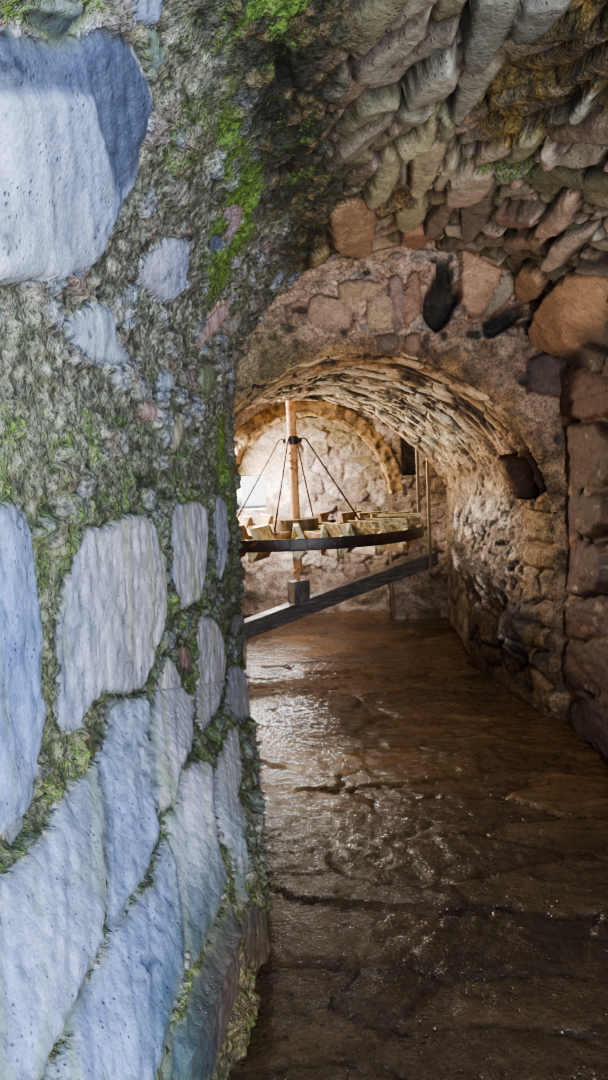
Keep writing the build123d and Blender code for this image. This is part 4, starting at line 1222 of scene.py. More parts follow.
    # bright moss streak, and dark moss on the flank of the vault
    m1 = blob(px, 243, 120, 24, 135, 3, 0.5)
    m1 = np.maximum(m1, 0.85 * blob(px, 222, 250, 18, 60, 15, 0.5))
    m1 = np.maximum(m1, 0.50 * blob(px, 190, 110, 40, 130, 8, 0.6))
    m1 = np.maximum(m1, 0.45 * blob(px, 225, 20, 60, 60, 0, 0.6))
    m1 = np.maximum(m1, 0.22 * blob(px, 130, 330, 100, 60, -20, 0.6))
    m1 = np.maximum(m1, 0.8 * blob(px, 50, 8, 70, 16, 0, 0.5))
    m1 = np.maximum(m1, 0.5 * blob(px, 222, 480, 14, 70, 0, 0.6))
    tuft = fbm(s, 11, 3, 51)
    moss = m1 * np.clip(0.85 + 0.9 * tuft, 0, 1) + 0.35 * smooth(0.15, 0.6, fbm(s, 3, 3, 52)) * (~on_stone)
    moss = np.clip(moss, 0, 1) * np.where(on_stone, 0.45, 1.0)
    moss = np.where(~on_stone & (low > 0.3), np.maximum(moss, 0.5 * smooth(-0.2, 0.4, tuft)), moss)
    dk = blob(px, 315, 90, 50, 150, -8, 0.5)
    tint = mix(tint, srgb(66, 60, 38), 0.75 * dk)
    shade = blob(px, 120, 20, 130, 60, -20, 0.6)
    orange = blob(px, 285, 345, 42, 26, -30, 0.5)
    tint = mix(tint, mix(flat_colour(srgb(150, 112, 74), n), srgb(120, 88, 58), smooth(-0.4, 0.4, rough)), 0.85 * orange)
    moss *= 1 - orange
    h += 0.006 * moss * fbm(s, 40, 2, 53)
    foot = blob(px, 300, 1000, 90, 120, 0, 0.5)
    tint = mix(tint, srgb(104, 78, 48), foot * 0.6)
    wet = 0.25 + 0.35 * smooth(-0.9, -1.6, q0[:, 1])
    h += rounding(Y_CROSS - p[:, 1], 0.06)
    crumb = np.where(on_stone, 0.06, 1.0)
    return h, tint, wet, moss, crumb


def face_vault(p):
    """Rough wedge stones on edge, long one way, with open dark joints."""
    n = len(p)
    q0 = vault_uv(p)
    px = project(p)
    s = uv3(q0[:, 0], q0[:, 1])
    w = warp_vault(q0)
    q = q0 + w
    # slanted courses: stones long along Y, thin round the curve
    sk = q[:, 1] - 0.62 * q[:, 0]
    kk, ed, du, dv = cells(q[:, 0], sk, 0.21, 0.088, 65, 0.9, 0.5, 0.8)
    off = 0.060 * (key2(kk, 1) ** 1.2) - 0.028
    tilt = 0.22 * du * (key2(kk, 2) - 0.72) + 0.55 * dv * (key2(kk, 3) - 0.62)
    body = off + tilt + dome(ed - 0.002, 0.010, 0.010)
    chip = 0.009 * fbm(s, 13, 4, 66, 0.60)
    joint = smooth(0.0, 0.013, ed)
    h = -0.055 * (1 - joint) + body * joint + chip
    c = mix(flat_colour(srgb(112, 100, 86), n), srgb(160, 148, 132), key2(kk, 4))
    c = mix(c, srgb(138, 112, 96), (key2(kk, 5) > 0.75) * 0.7)
    c = mix(c, srgb(106, 98, 72), (key2(kk, 6) > 0.72) * 0.8)
    c = c * (1 + 0.30 * fbm(s, 11, 4, 60, 0.65))[:, None]
    tint = mix(c, srgb(40, 33, 26), smooth(0.014, 0.003, ed) * 0.9)
    # left of the crown the joints are filled and overgrown
    fill = smooth(1.60, 1.80, q0[:, 1] + 0.12 * noise(s, 3, 67))
    lump = fbm(s, 6, 5, 68, 0.66)
    mort = -0.004 + 0.034 * lump + 0.012 * fbm(s, 33, 3, 69, 0.7)
    pits = smooth(0.22, 0.5, noise(s, 15, 70)) * smooth(-0.5, 0.2, noise(s, 4, 71))
    mort -= 0.034 * pits
    k1, e1, _, _ = cells(q[:, 0], q[:, 1], 0.05, 0.035, 77, 0.95, 0.5, 0.6)
    mort += dome(e1 - 0.002, 0.012, 0.012) * (k1 > 0.5)
    h = h * (1 - fill) + (0.22 * h + mort) * fill
    olive = mix(flat_colour(srgb(46, 48, 34), n), srgb(90, 90, 66), smooth(-0.35, 0.45, fbm(s, 14, 4, 72, 0.65)))
    olive = mix(olive, olive * 0.45, np.maximum(blob(px, 330, 70, 80, 110, -8, 0.7), 0.8 * blob(px, 240, 10, 90, 50, 0, 0.6)))
    olive = mix(olive, srgb(124, 106, 72), (k1 > 0.78) * 0.7)
    tint = mix(tint, olive, fill * 0.92)
    tint = mix(tint, srgb(30, 27, 18), fill * pits * 0.85)
    h, tint, depth = lay(VAULT, q0 + 0.3 * w, h, tint, None, slope=0.20, soft=0.009, line=srgb(34, 29, 24), dig=0.012)
    h = np.where(depth > 0, h + 0.8 * chip, h)
    skin = fbm(s, 16, 4, 59, 0.65)
    tint = np.where((depth > 0)[:, None], tint * (1 + 0.35 * skin)[:, None], tint)
    # patches of moss and ochre earth
    tuft = fbm(s, 13, 3, 74)
    moss = 0.55 * smooth(0.10, 0.6, fbm(s, 2.6, 3, 73)) * smooth(-0.4, 0.3, tuft)
    ochre = np.maximum(blob(px, 522, 98, 50, 40, -35, 0.5), blob(px, 592, 50, 40, 60, 0, 0.5))
    ochre = np.maximum(ochre, blob(px, 400, 195, 26, 12, -40, 0.5))
    broken = smooth(-0.5, 0.5, fbm(s, 14, 3, 75))
    tint = mix(tint, mix(flat_colour(srgb(146, 118, 62), n), srgb(88, 76, 44), smooth(-0.2, 0.4, fbm(s, 20, 3, 76))), ochre * np.clip(broken + 0.3, 0, 1) * (depth < 0.004))
    moss = np.clip(moss + 0.50 * fill * smooth(-0.2, 0.5, tuft), 0, 1) * np.where(depth > 0, 0.15, 1.0)
    pinkish = smooth(-1.7, -0.6, q0[:, 0])
    tint = mix(tint, tint * np.array([1.06, 0.95, 0.87]), pinkish)
    shade = np.maximum(0.75 * blob(px, 570, 60, 60, 90, 10, 0.6), 0.6 * blob(px, 560, 330, 70, 60, 0, 0.6) * (depth < 0))
    tint = mix(tint, tint * 0.5, shade * (depth < 0.004))
    moss *= 1 - 0.8 * pinkish
    crumb = np.clip(fill + ochre * (depth < 0.004), 0, 1) * np.where(depth > 0, 0.2, 1.0) + 0.25
    return h, tint, np.full(n, 0.25), moss, np.clip(crumb, 0, 1)


def face_right(p):
    """Big dark damp stones."""
    n = len(p)
    q0 = right_uv(p)
    s = uv3(q0[:, 0], q0[:, 1])
    q = q0 + 0.020 * np.stack([noise(s, 6, 81), noise(s, 6, 82)], -1) + 0.006 * np.stack([noise(s, 24, 91), noise(s, 24, 92)], -1)
    kk, ed, du, dv = cells(q[:, 0] + 0.1, q[:, 1] - 0.02, 0.62, 0.21, 85, 0.8, 0.5, 0.5)
    gap = 0.008
    sl = s * np.array([0.34, 1.0, 1.0])
    rough = fbm(sl, 7, 5, 86, 0.62)
    h = -0.030 + dome(ed - gap, 0.032, 0.030) + 0.03 * (key2(kk, 1) - 0.5) + 0.12 * du * (key2(kk, 7) - 0.5) + 0.2 * dv * (key2(kk, 8) - 0.5)
    h = np.where(ed > gap, h, -0.045)
    c = mix(flat_colour(srgb(84, 68, 58), n), srgb(98, 78, 62), key2(kk, 2))
    c = mix(c, srgb(68, 56, 50), key2(kk, 3) * 0.6)
    tint = mix(c, srgb(30, 26, 24), smooth(gap + 0.012, gap, ed) * 0.85)
    h, tint, depth = lay(DARK_SIDE, q, h, tint, None, slope=0.10)
    shut = smooth(Y_CROSS - 0.17, Y_CROSS - 0.03, p[:, 1] + 0.03 * noise(s, 9, 94))
    h = h * (1 - shut) + np.maximum(h, 0.012) * shut
    # painted light: near the corner with the cross wall, all but the listed stones turn light brown to cancel the
    # corner's shade
    tint = mix(tint, srgb(178, 150, 126), 0.85 * shut * (depth < 0.004))
    h += 0.026 * rough + 0.010 * fbm(sl, 26, 4, 87, 0.68)
    tint = tint * np.array([0.70, 0.56, 0.48]) * (1.0 + 0.55 * fbm(sl, 11, 4, 88, 0.65))[:, None]
    tint = mix(tint, srgb(98, 74, 54), 0.45 * smooth(0.15, 0.55, fbm(sl, 6, 3, 89)))
    tint = mix(tint, srgb(150, 138, 124), 0.5 * smooth(0.38, 0.6, fbm(sl, 22, 3, 93, 0.6)))
    # painted shade: darker above 0.9 to 1.5 m, lighter below
    tint = tint * (1.15 - 0.25 * smooth(0.9, 1.5, p[:, 2]))[:, None]
    return h, tint, np.full(n, 0.10), 0.25 * smooth(0.3, 0.7, fbm(s, 4, 3, 90)), np.full(n, 0.35)


def rounding(d, r):
    """How far a sharp edge is worn back at a distance d from it."""
    t = np.clip(1 - d / r, 0, 1)
    return -0.5 * r * t * t


def face_cross(p):
    """Rubble over and beside the near arch."""
    n = len(p)
    x, z = p[:, 0], p[:, 2]
    s = uv3(x, z)
    px = project(p)
    q0 = np.stack([x, z], -1)
    w = 0.014 * np.stack([noise(s, 8, 101), noise(s, 8, 102)], -1) + 0.005 * np.stack([noise(s, 28, 110), noise(s, 28, 111)], -1)
    q = q0 + w
    kk, ed, du, dv = cells(q[:, 0], q[:, 1], 0.15, 0.085, 103, 0.95, 0.5, 0.8)
    k1, e1, _, _ = cells(q[:, 0], q[:, 1], 0.045, 0.035, 112, 0.95, 0.5, 0.6)
    rough = fbm(s, 8, 5, 104, 0.64)
    mortar = -0.014 + 0.020 * rough + dome(e1 - 0.002, 0.012, 0.010) * (k1 > 0.4)
    stone = key2(kk, 6) > 0.40
    hs = -0.012 + dome(ed - 0.004, 0.014, 0.014) + 0.026 * (key2(kk, 1) - 0.4) + 0.25 * du * (key2(kk, 2) - 0.5) + 0.3 * dv * (key2(kk, 3) - 0.5) + 0.008 * rough
    h = np.where(stone & (ed > 0.004), np.maximum(hs, mortar), mortar)
    pits = smooth(0.3, 0.55, noise(s, 22, 113)) * smooth(-0.4, 0.3, noise(s, 6, 114))
    h -= 0.018 * pits
    h += 0.005 * fbm(s, 42, 2, 105)
    earth = mix(flat_colour(srgb(136, 108, 88), n), srgb(184, 154, 132), smooth(-0.4, 0.4, fbm(s, 10, 4, 115, 0.65)))
    c = mix(flat_colour(srgb(172, 140, 118), n), srgb(132, 104, 88), key2(kk, 4))
    c = mix(c, srgb(134, 122, 114), (key2(kk, 5) > 0.72) * 0.7)
    tint = np.where((stone & (ed > 0.006))[:, None], c, earth)
    tint = mix(tint, srgb(50, 36, 30), pits * 0.9)
    d = np.hypot(x - NEAR[0], z - NEAR[2]) - NEAR[1]
    d = np.where(z < NEAR[2], np.abs(x - NEAR[0]) - NEAR[1], d)
    # the arch edge is a band of smooth earthy mortar
    band = smooth(0.16, 0.05, d + 0.04 * noise(s, 6, 106))
    h = h * (1 - 0.6 * band) + band * (0.010 * fbm(s, 14, 4, 107))
    tint = mix(tint, mix(flat_colour(srgb(96, 70, 48), n), srgb(154, 118, 78), smooth(-0.3, 0.4, fbm(s, 12, 4, 108, 0.65))), band * 0.85)
    h, tint, depth = lay(CROSS, q0 + 0.9 * w, h, tint, None, slope=0.12)
    h = np.where(depth > 0, h + 0.010 * rough + 0.004 * fbm(s, 30, 3, 116, 0.7), h)
    tint = np.where((depth > 0)[:, None], tint * (1 + 0.35 * rough)[:, None], tint)
    # the deep gap beside the pale block, set back and painted near black as shade
    jitter = np.stack([noise(s, 10, 117), noise(s, 10, 118)], -1) * 6
    hole = np.maximum(blob(px + jitter, 440, 300, 15, 30, 10, 0.12), blob(px + jitter, 448, 272, 9, 16, -10, 0.12))
    h = np.where(depth < 0, h * (1 - hole) - 0.17 * hole, h)
    tint = mix(tint, srgb(22, 17, 14), hole * (depth < 0) * 0.92)
    # a second gap, set back and painted dark as shade
    hole2 = blob(px + 3 * w * 60, 506, 320, 22, 9, -35, 0.2)
    h = np.where(depth < 0, h * (1 - hole2) - 0.10 * hole2, h)
    tint = mix(tint, srgb(30, 24, 20), hole2 * (depth < 0) * 0.85)
    dark = np.maximum(blob(px, 520, 350, 75, 45, 20, 0.5), 0.6 * blob(px, 440, 350, 80, 18, 5, 0.6))
    tint = mix(tint, tint * 0.6, dark)
    tint = mix(tint, srgb(104, 98, 66), 0.55 * blob(px, 262, 362, 30, 46, 40, 0.5))
    # painted light: away from the arch edge the rubble is made lighter and bluer, not in the dark patches nor on the
    # right
    up = smooth(0.10, 0.30, d)
    tint = mix(tint, np.minimum(tint * np.array([1.20, 1.22, 1.26]), 0.8), up * (x < 1.25) * (1 - dark))
    shut = smooth(PASS_R - 0.14, PASS_R - 0.02, x)
    h = h * (1 - shut) + np.maximum(h, 0.004) * shut
    h += rounding(d, 0.09) * 1.1
    return h, tint, np.full(n, 0.2), 0.12 * smooth(0.2, 0.7, fbm(s, 5, 3, 109)), np.where(depth > 0, 0.30, 0.75)


def face_throat(p):
    n = len(p)
    sarc, y = throat_uv(p)
    s = uv3(sarc, y)
    px = project(p)
    # thin slabs on edge round the curve, with dark gaps between them
    bend = y + 0.045 * noise(s, (1.3, 1.6, 1), 121) + 0.010 * noise(s, (7, 9, 1), 120) + 0.08 * (sarc / (math.pi * R0) - 0.5) ** 2
    q = np.stack([sarc + 0.01 * noise(s, 20, 119), bend], -1)
    ka, ea, _, _ = cells(q[:, 0], q[:, 1], 0.14, 0.042, 122, 0.95, 0.5, 0.7)
    r1 = noise(uv3(sarc, bend), (6.5, 23, 1), 123)
    r3 = noise(uv3(sarc, bend), (2.6, 11, 1), 124)
    gapd = smooth(0.0080, 0.0045, ea) * (key2(ka, 2) > 0.22)
    strength = smooth(-0.8, 0.3, noise(s, 1.9, 125) + 0.35)
    h = strength * (0.022 * (key2(ka, 1) - 0.4) + 0.022 * r1 + 0.020 * r3 - 0.030 * gapd) + 0.008 * fbm(s, 9, 4, 126, 0.65)
    # painted shadow in the gaps and on the low side of the ridges, painted highlight on the raised ridges
    shadow = np.clip(0.95 * gapd + 0.9 * smooth(0.12, 0.30, -r1 - 0.4 * r3), 0, 1) * strength
    tint = mix(flat_colour(srgb(206, 170, 124), n), srgb(250, 228, 190), smooth(0.0, 0.6, r1 + 0.5 * key2(ka, 3)))
    tint = mix(tint, srgb(182, 142, 98), 0.6 * smooth(0.0, 0.5, fbm(s, (2.5, 6, 1), 3, 136)))
    tint = mix(tint, srgb(46, 31, 20), shadow * 0.97)
    # right side and low down: lumpy crust instead of slabs
    right = smooth(2.45, 2.85, sarc + 0.14 * noise(s, 4, 127))
    lump = fbm(s, 8, 5, 128, 0.66)
    pit = smooth(0.10, 0.42, noise(s, (28, 28, 1), 129)) * smooth(-0.4, 0.4, noise(s, 7, 130))
    k2, e2, _, _ = cells(sarc + 0.02 * noise(s, 9, 137), y, 0.055, 0.045, 138, 0.95, 0.5, 0.7)
    hl = 0.042 * lump - 0.024 * pit + 0.012 * (key2(k2, 1) - 0.5) * smooth(0.0, 0.01, e2) + 0.006 * fbm(s, 50, 2, 131)
    h = h * (1 - right) + hl * right
    crust = mix(flat_colour(srgb(126, 110, 98), n), srgb(214, 202, 190), smooth(0.0, 0.5, lump + 0.6 * (key2(k2, 2) - 0.5)))
    crust = mix(crust, srgb(46, 36, 30), pit * 0.90)
    earth = mix(flat_colour(srgb(128, 100, 72), n), srgb(200, 166, 124), smooth(-0.3, 0.4, lump))
    earth = mix(earth, srgb(48, 36, 26), pit * 0.8)
    grey = blob(px, 490, 552, 40, 62, -10, 0.4)
    tint = mix(tint, mix(earth, crust, grey), right)
    # the bulge of grey rock on the right
    bulge = blob(px, 486, 545, 34, 50, -25, 0.5)
    h += 0.10 * bulge * right
    # walls below the springing are dark and wet
    low = smooth(0.95, 0.45, p[:, 2] + 0.15 * noise(s, 3, 139))
    kk, ed, du, dv = cells(y, p[:, 2], 0.30, 0.18, 133, 0.8, 0.5, 0.5)
    hs = -0.03 + dome(ed - 0.006, 0.03, 0.03) + 0.03 * (key2(kk, 1) - 0.5) + 0.022 * lump
    wall = smooth(-0.02, -0.10, sarc) + smooth(math.pi * R0 + 0.30, math.pi * R0 + 0.5, sarc)
    wall = np.clip(wall, 0, 1)
    h = h * (1 - wall) + hs * wall
    c = mix(flat_colour(srgb(92, 70, 54), n), srgb(126, 100, 76), key2(kk, 2))
    c = mix(c, srgb(24, 18, 14), smooth(0.016, 0.004, ed) * 0.8)
    tint = mix(tint, c, wall)
    # painted light: the side wall on the left is made up to 2.6 times lighter
    tint = mix(tint, np.minimum(tint * 2.6, 0.6), wall * (sarc < 0.5))
    tint = mix(tint, tint * 0.50, low * (sarc > 0.5))
    # painted shade: near the front edge it darkens and greys
    front = smooth(0.55, -0.25, y + 0.08 * noise(s, 3, 140))
    tint = mix(tint, tint * np.array([0.50, 0.38, 0.29]), front * smooth(0.2, 0.7, sarc) * 0.95)
    # dark jamb stones right at the front on the right
    jamb = smooth(0.04, -0.06, y + 0.03 * noise(s, 6, 149)) * smooth(math.pi * R0 - 0.30, math.pi * R0 - 0.05, sarc)
    kj, ej, ju, jv = cells(y, p[:, 2] + 0.03 + 0.02 * noise(s, 6, 150), 0.5, 0.16, 134, 0.4, 0.5, 0.4)
    hj = -0.03 + dome(ej - 0.006, 0.04, 0.05) + 0.03 * (key2(kj, 1) - 0.5) + 0.018 * lump
    h = h * (1 - jamb) + hj * jamb
    tint = mix(tint, mix(flat_colour(srgb(88, 74, 66), n), srgb(126, 102, 72), key2(kj, 2)) * (1 + 0.4 * lump)[:, None], jamb * 0.9)
    # the broken edge that widens the beam socket, set back and painted near black as shade
    sock = blob(px + 2.5 * np.stack([noise(s, 14, 147), noise(s, 14, 148)], -1), 531, 474, 12, 25, -6, 0.16)
    h = h * (1 - sock) - 0.10 * sock
    tint = mix(tint, srgb(26, 19, 15), sock * 0.92)
    # the loose boulder at the foot of the jamb, with a painted highlight on its left side
    bo = blob(px, 521, 626, 13, 30, 8, 0.35)
    h += 0.09 * bo
    tint = mix(tint, mix(flat_colour(srgb(70, 60, 58), n), srgb(190, 180, 172), smooth(-0.1, 0.5, lump) * smooth(526, 512, px[:, 0])), bo * 0.9)
    h += rounding(y - Y_CROSS, 0.10) * (1 - wall)
    h += rounding(Y_CHAMBER - y, 0.06)
    wet = 0.25 + 0.6 * np.maximum(grey, low)
    return h, tint, wet, 0.1 * smooth(0.2, 0.6, fbm(s, 3, 3, 135)), 0.35 + 0.5 * right


def face_floor(p):
    """Wet flagstones, worn and uneven."""
    n = len(p)
    x, y = p[:, 0], p[:, 1]
    s = uv3(x, y)
    q = np.stack([x, y], -1) + 0.09 * np.stack([noise(s, 2.2, 141), noise(s, 2.2, 142)], -1)
    q += 0.022 * np.stack([noise(s, 9, 143), noise(s, 9, 144)], -1) + 0.008 * np.stack([noise(s, 27, 149), noise(s, 27, 150)], -1)
    kk, ed, du, dv = cells(q[:, 0] + 0.1, q[:, 1], 0.52, 0.25, 145, 0.95, 0.5, 0.9)
    gap = 0.002 + 0.004 * noise(s, 6, 151)
    rough = fbm(s, 7, 5, 146, 0.62)
    seen = smooth(-0.35, 0.25, noise(s, 1.7, 147))      # many joints are silted up
    h = -0.012 + 0.016 * (key2(kk, 1) - 0.6) + 0.05 * du * (key2(kk, 2) - 0.5) + 0.07 * dv * (key2(kk, 3) - 0.5)
    h = h - 0.010 * seen * smooth(gap + 0.012, gap, ed) + 0.011 * rough + 0.004 * fbm(s, 30, 3, 152)
    # ledges where the stone has flaked in thin sheets
    sheet = 3.2 * noise(uv3(x + 0.3 * y, y), (1.1, 4.6, 1), 153) + 1.3 * noise(uv3(x, y), (4, 12, 1), 155)
    part = sheet - np.floor(sheet)
    on = smooth(-0.6, 0.2, noise(s, 1.6, 154))
    h += 0.006 * part * on
    c = mix(flat_colour(srgb(84, 68, 50), n), srgb(104, 82, 58), key2(kk, 4))
    c = mix(c, srgb(72, 59, 46), (key2(kk, 5) > 0.6) * 0.7)
    c = c * (1 + 0.45 * fbm(s, (5, 12, 1), 5, 148, 0.66))[:, None]
    crack = np.maximum(0.75 * seen * smooth(gap + 0.009, gap, ed), 0.65 * on * smooth(0.14, 0.0, part))
    near = smooth(-1.0, -2.0, y)
    tint = mix(c * np.array([0.90, 0.80, 0.70]), srgb(30, 22, 15), crack * (1 - 0.45 * near))
    # painted shade and a painted bluish reflection towards the mouth
    tint = mix(tint, tint * np.array([0.36, 0.42, 0.58]), near * 0.9)
    red = smooth(-1.7, -1.0, y) * smooth(0.4, -0.3, y)
    tint = mix(tint, tint * np.array([1.10, 0.92, 0.78]), red * 0.5)
    foot = smooth(0.30, -0.10, np.minimum(x + 0.5, 1.6 - x))
    tint = mix(tint, tint * 0.6, foot)
    return np.minimum(h, 0.008), tint, np.full(n, 0.95), np.zeros(n), np.full(n, 0.15)


def face_back(p):
    n = len(p)
    x, z = p[:, 0], p[:, 2]
    s = uv3(x, z, 0.0)
    q = np.stack([x, z], -1) + 0.030 * np.stack([noise(s, 5, 151), noise(s, 5, 152)], -1)
    q += 0.012 * np.stack([noise(s, 17, 160), noise(s, 17, 164)], -1)
    d = np.where(z > BACK_SPRING, np.hypot(x - BACK_CX, z - BACK_SPRING), np.abs(x - BACK_CX)) - BACK_RAD
    ringed = (p[:, 1] < Y_BACK - 0.01) & (z > BACK_SPRING - 0.001)
    kk, ed, du, dv = cells(q[:, 0], q[:, 1], 0.19, 0.12, 153, 0.8, 0.5, 0.6)
    lump = fbm(s, 8, 5, 154, 0.66)
    h = -0.022 + dome(ed - 0.004, 0.026, 0.017) + 0.026 * (key2(kk, 1) - 0.4) + 0.15 * dv * (key2(kk, 2) - 0.5)
    h += 0.034 * lump + 0.006 * fbm(s, 40, 2, 155)
    c = mix(flat_colour(srgb(156, 136, 126), n), srgb(118, 98, 86), key2(kk, 3))
    c = mix(c, srgb(184, 168, 162), (key2(kk, 4) > 0.85) * 0.7)
    c = mix(c, srgb(104, 88, 60), (key2(kk, 5) > 0.70) * 0.7)
    c = c * (1 + 0.45 * lump)[:, None]
    tint = mix(c, srgb(72, 58, 50), smooth(0.014, 0.0, ed) * 0.35)
    # a crust of lime where the spray falls
    lime = smooth(-0.15, 0.35, fbm(s, 3.0, 4, 165, 0.6) + 0.35 * smooth(0.3, -1.1, x) - 0.15)
    h = h * (1 - 0.75 * lime) + lime * (0.026 * lump + 0.006 * fbm(s, 30, 3, 169))
    tint = mix(tint, mix(flat_colour(srgb(150, 128, 116), n), srgb(204, 188, 180), smooth(-0.3, 0.4, fbm(s, 12, 4, 166, 0.66))), lime * 0.8)
    # the wedge stones of the ring
    th = np.arctan2(z - BACK_SPRING, x - BACK_CX)
    u = th * (BACK_RAD + 0.06)
    kr, er, ru, rv = cells(u + 0.03 * noise(s, 9, 167), np.full(n, 0.5) + 0.25 * noise(s, 5, 168), 0.115, 1.0, 156, 0.8, 0.0, 0.0)
    rl = fbm(s, 11, 5, 157, 0.68)
    hr = -0.024 + dome(er - 0.003, 0.02, 0.012) + 0.034 * (key2(kr, 1) - 0.5) + 0.056 * rl
    ochre = mix(flat_colour(srgb(184, 152, 104), n), srgb(146, 112, 70), key2(kr, 2))
    ochre = mix(ochre, srgb(98, 78, 52), smooth(-0.1, 0.4, fbm(s, 9, 4, 158, 0.66)) * 0.85)
    ochre = 0.68 * ochre * (1 + 0.60 * rl)[:, None]
    ochre = mix(ochre, srgb(56, 42, 28), smooth(0.012, 0.0, er) * 0.55)
    h = np.where(ringed, hr, h)
    tint = np.where(ringed[:, None], ochre, tint)
    under = smooth(0.4, -0.1, np.abs(d + 0.30) - 0.3) * (p[:, 1] > Y_RECESS - 0.05)
    tint = mix(tint, srgb(112, 92, 44), 0.6 * smooth(0.45, 0.1, np.abs(d)) * (z > BACK_SPRING) * under)
    tint = mix(tint, tint * 0.6, smooth(1.0, 0.3, z) * 0.7)
    moss = 0.3 * smooth(0.1, 0.6, fbm(s, 4, 3, 159)) * (~ringed)
    return h, tint, 0.35 + 0.4 * smooth(1.2, 0.6, z), moss, np.where(ringed, 0.6, 0.85)


def face_ring(p):
    n = len(p)
    th = np.arctan2(p[:, 2] - BACK_SPRING, p[:, 0] - BACK_CX)
    u = th * (BACK_RAD + 0.06)
    s = uv3(u, p[:, 1])
    kr, er, ru, rv = cells(u + 0.03 * noise(s, 9, 167), np.full(n, 0.5), 0.115, 1.0, 156, 0.8, 0.0, 0.0)
    rl = fbm(s, 9, 5, 161, 0.66)
    h = -0.020 + dome(er - 0.003, 0.02, 0.012) + 0.030 * (key2(kr, 1) - 0.5) + 0.052 * rl
    c = mix(flat_colour(srgb(186, 152, 100), n), srgb(156, 122, 74), key2(kr, 2)) * (1 + 0.5 * rl)[:, None]
    c = mix(c, srgb(98, 80, 52), smooth(-0.1, 0.4, fbm(s, 8, 4, 162, 0.66)) * 0.8)
    c = mix(c, srgb(50, 38, 24), smooth(0.010, 0.0, er) * 0.7)
    return h, c, np.full(n, 0.3), 0.2 * smooth(0.1, 0.6, fbm(s, 5, 2, 163)), np.full(n, 0.4)


def face_chamber(p, axis=0):
    n = len(p)
    u = p[:, 1] if axis == 0 else p[:, 0]
    s = uv3(u, p[:, 2], axis * 3.0)
    q = np.stack([u, p[:, 2]], -1) + 0.015 * np.stack([noise(s, 6, 171), noise(s, 6, 172)], -1)
    kk, ed, du, dv = cells(q[:, 0], q[:, 1], 0.30, 0.17, 173, 0.7, 0.5, 0.5)
    h = -0.030 + dome(ed - 0.006, 0.05, 0.03) + 0.03 * (key2(kk, 1) - 0.4) + 0.010 * fbm(s, 7, 3, 174)
    c = mix(flat_colour(srgb(136, 118, 96), n), srgb(110, 98, 84), key2(kk, 2))
    tint = mix(c, srgb(52, 44, 34), smooth(0.03, 0.0, ed) * 0.6)
    return h, tint, np.full(n, 0.4), 0.3 * smooth(0.1, 0.6, fbm(s, 3, 3, 175)), np.full(n, 0.5)


def face_chvault(p):
    n = len(p)
    th = np.arctan2(p[:, 2] - CH_SPRING, p[:, 0] - CH_CX)
    s = uv3(p[:, 1], th * CH_RAD)
    q = np.stack([s[:, 0], s[:, 1]], -1) + 0.02 * np.stack([noise(s, 5, 181), noise(s, 5, 182)], -1)
    kk, ed, du, dv = cells(q[:, 0], q[:, 1], 0.34, 0.13, 183, 0.7, 0.5, 0.5)
    h = -0.02 + dome(ed - 0.006, 0.04, 0.025) + 0.035 * (key2(kk, 1) - 0.5)
    c = mix(flat_colour(srgb(170, 142, 100), n), srgb(136, 112, 80), key2(kk, 2))
    return h, mix(c, srgb(66, 52, 36), smooth(0.02, 0.0, ed) * 0.6), np.full(n, 0.3), 0.1 * np.ones(n), np.full(n, 0.5)


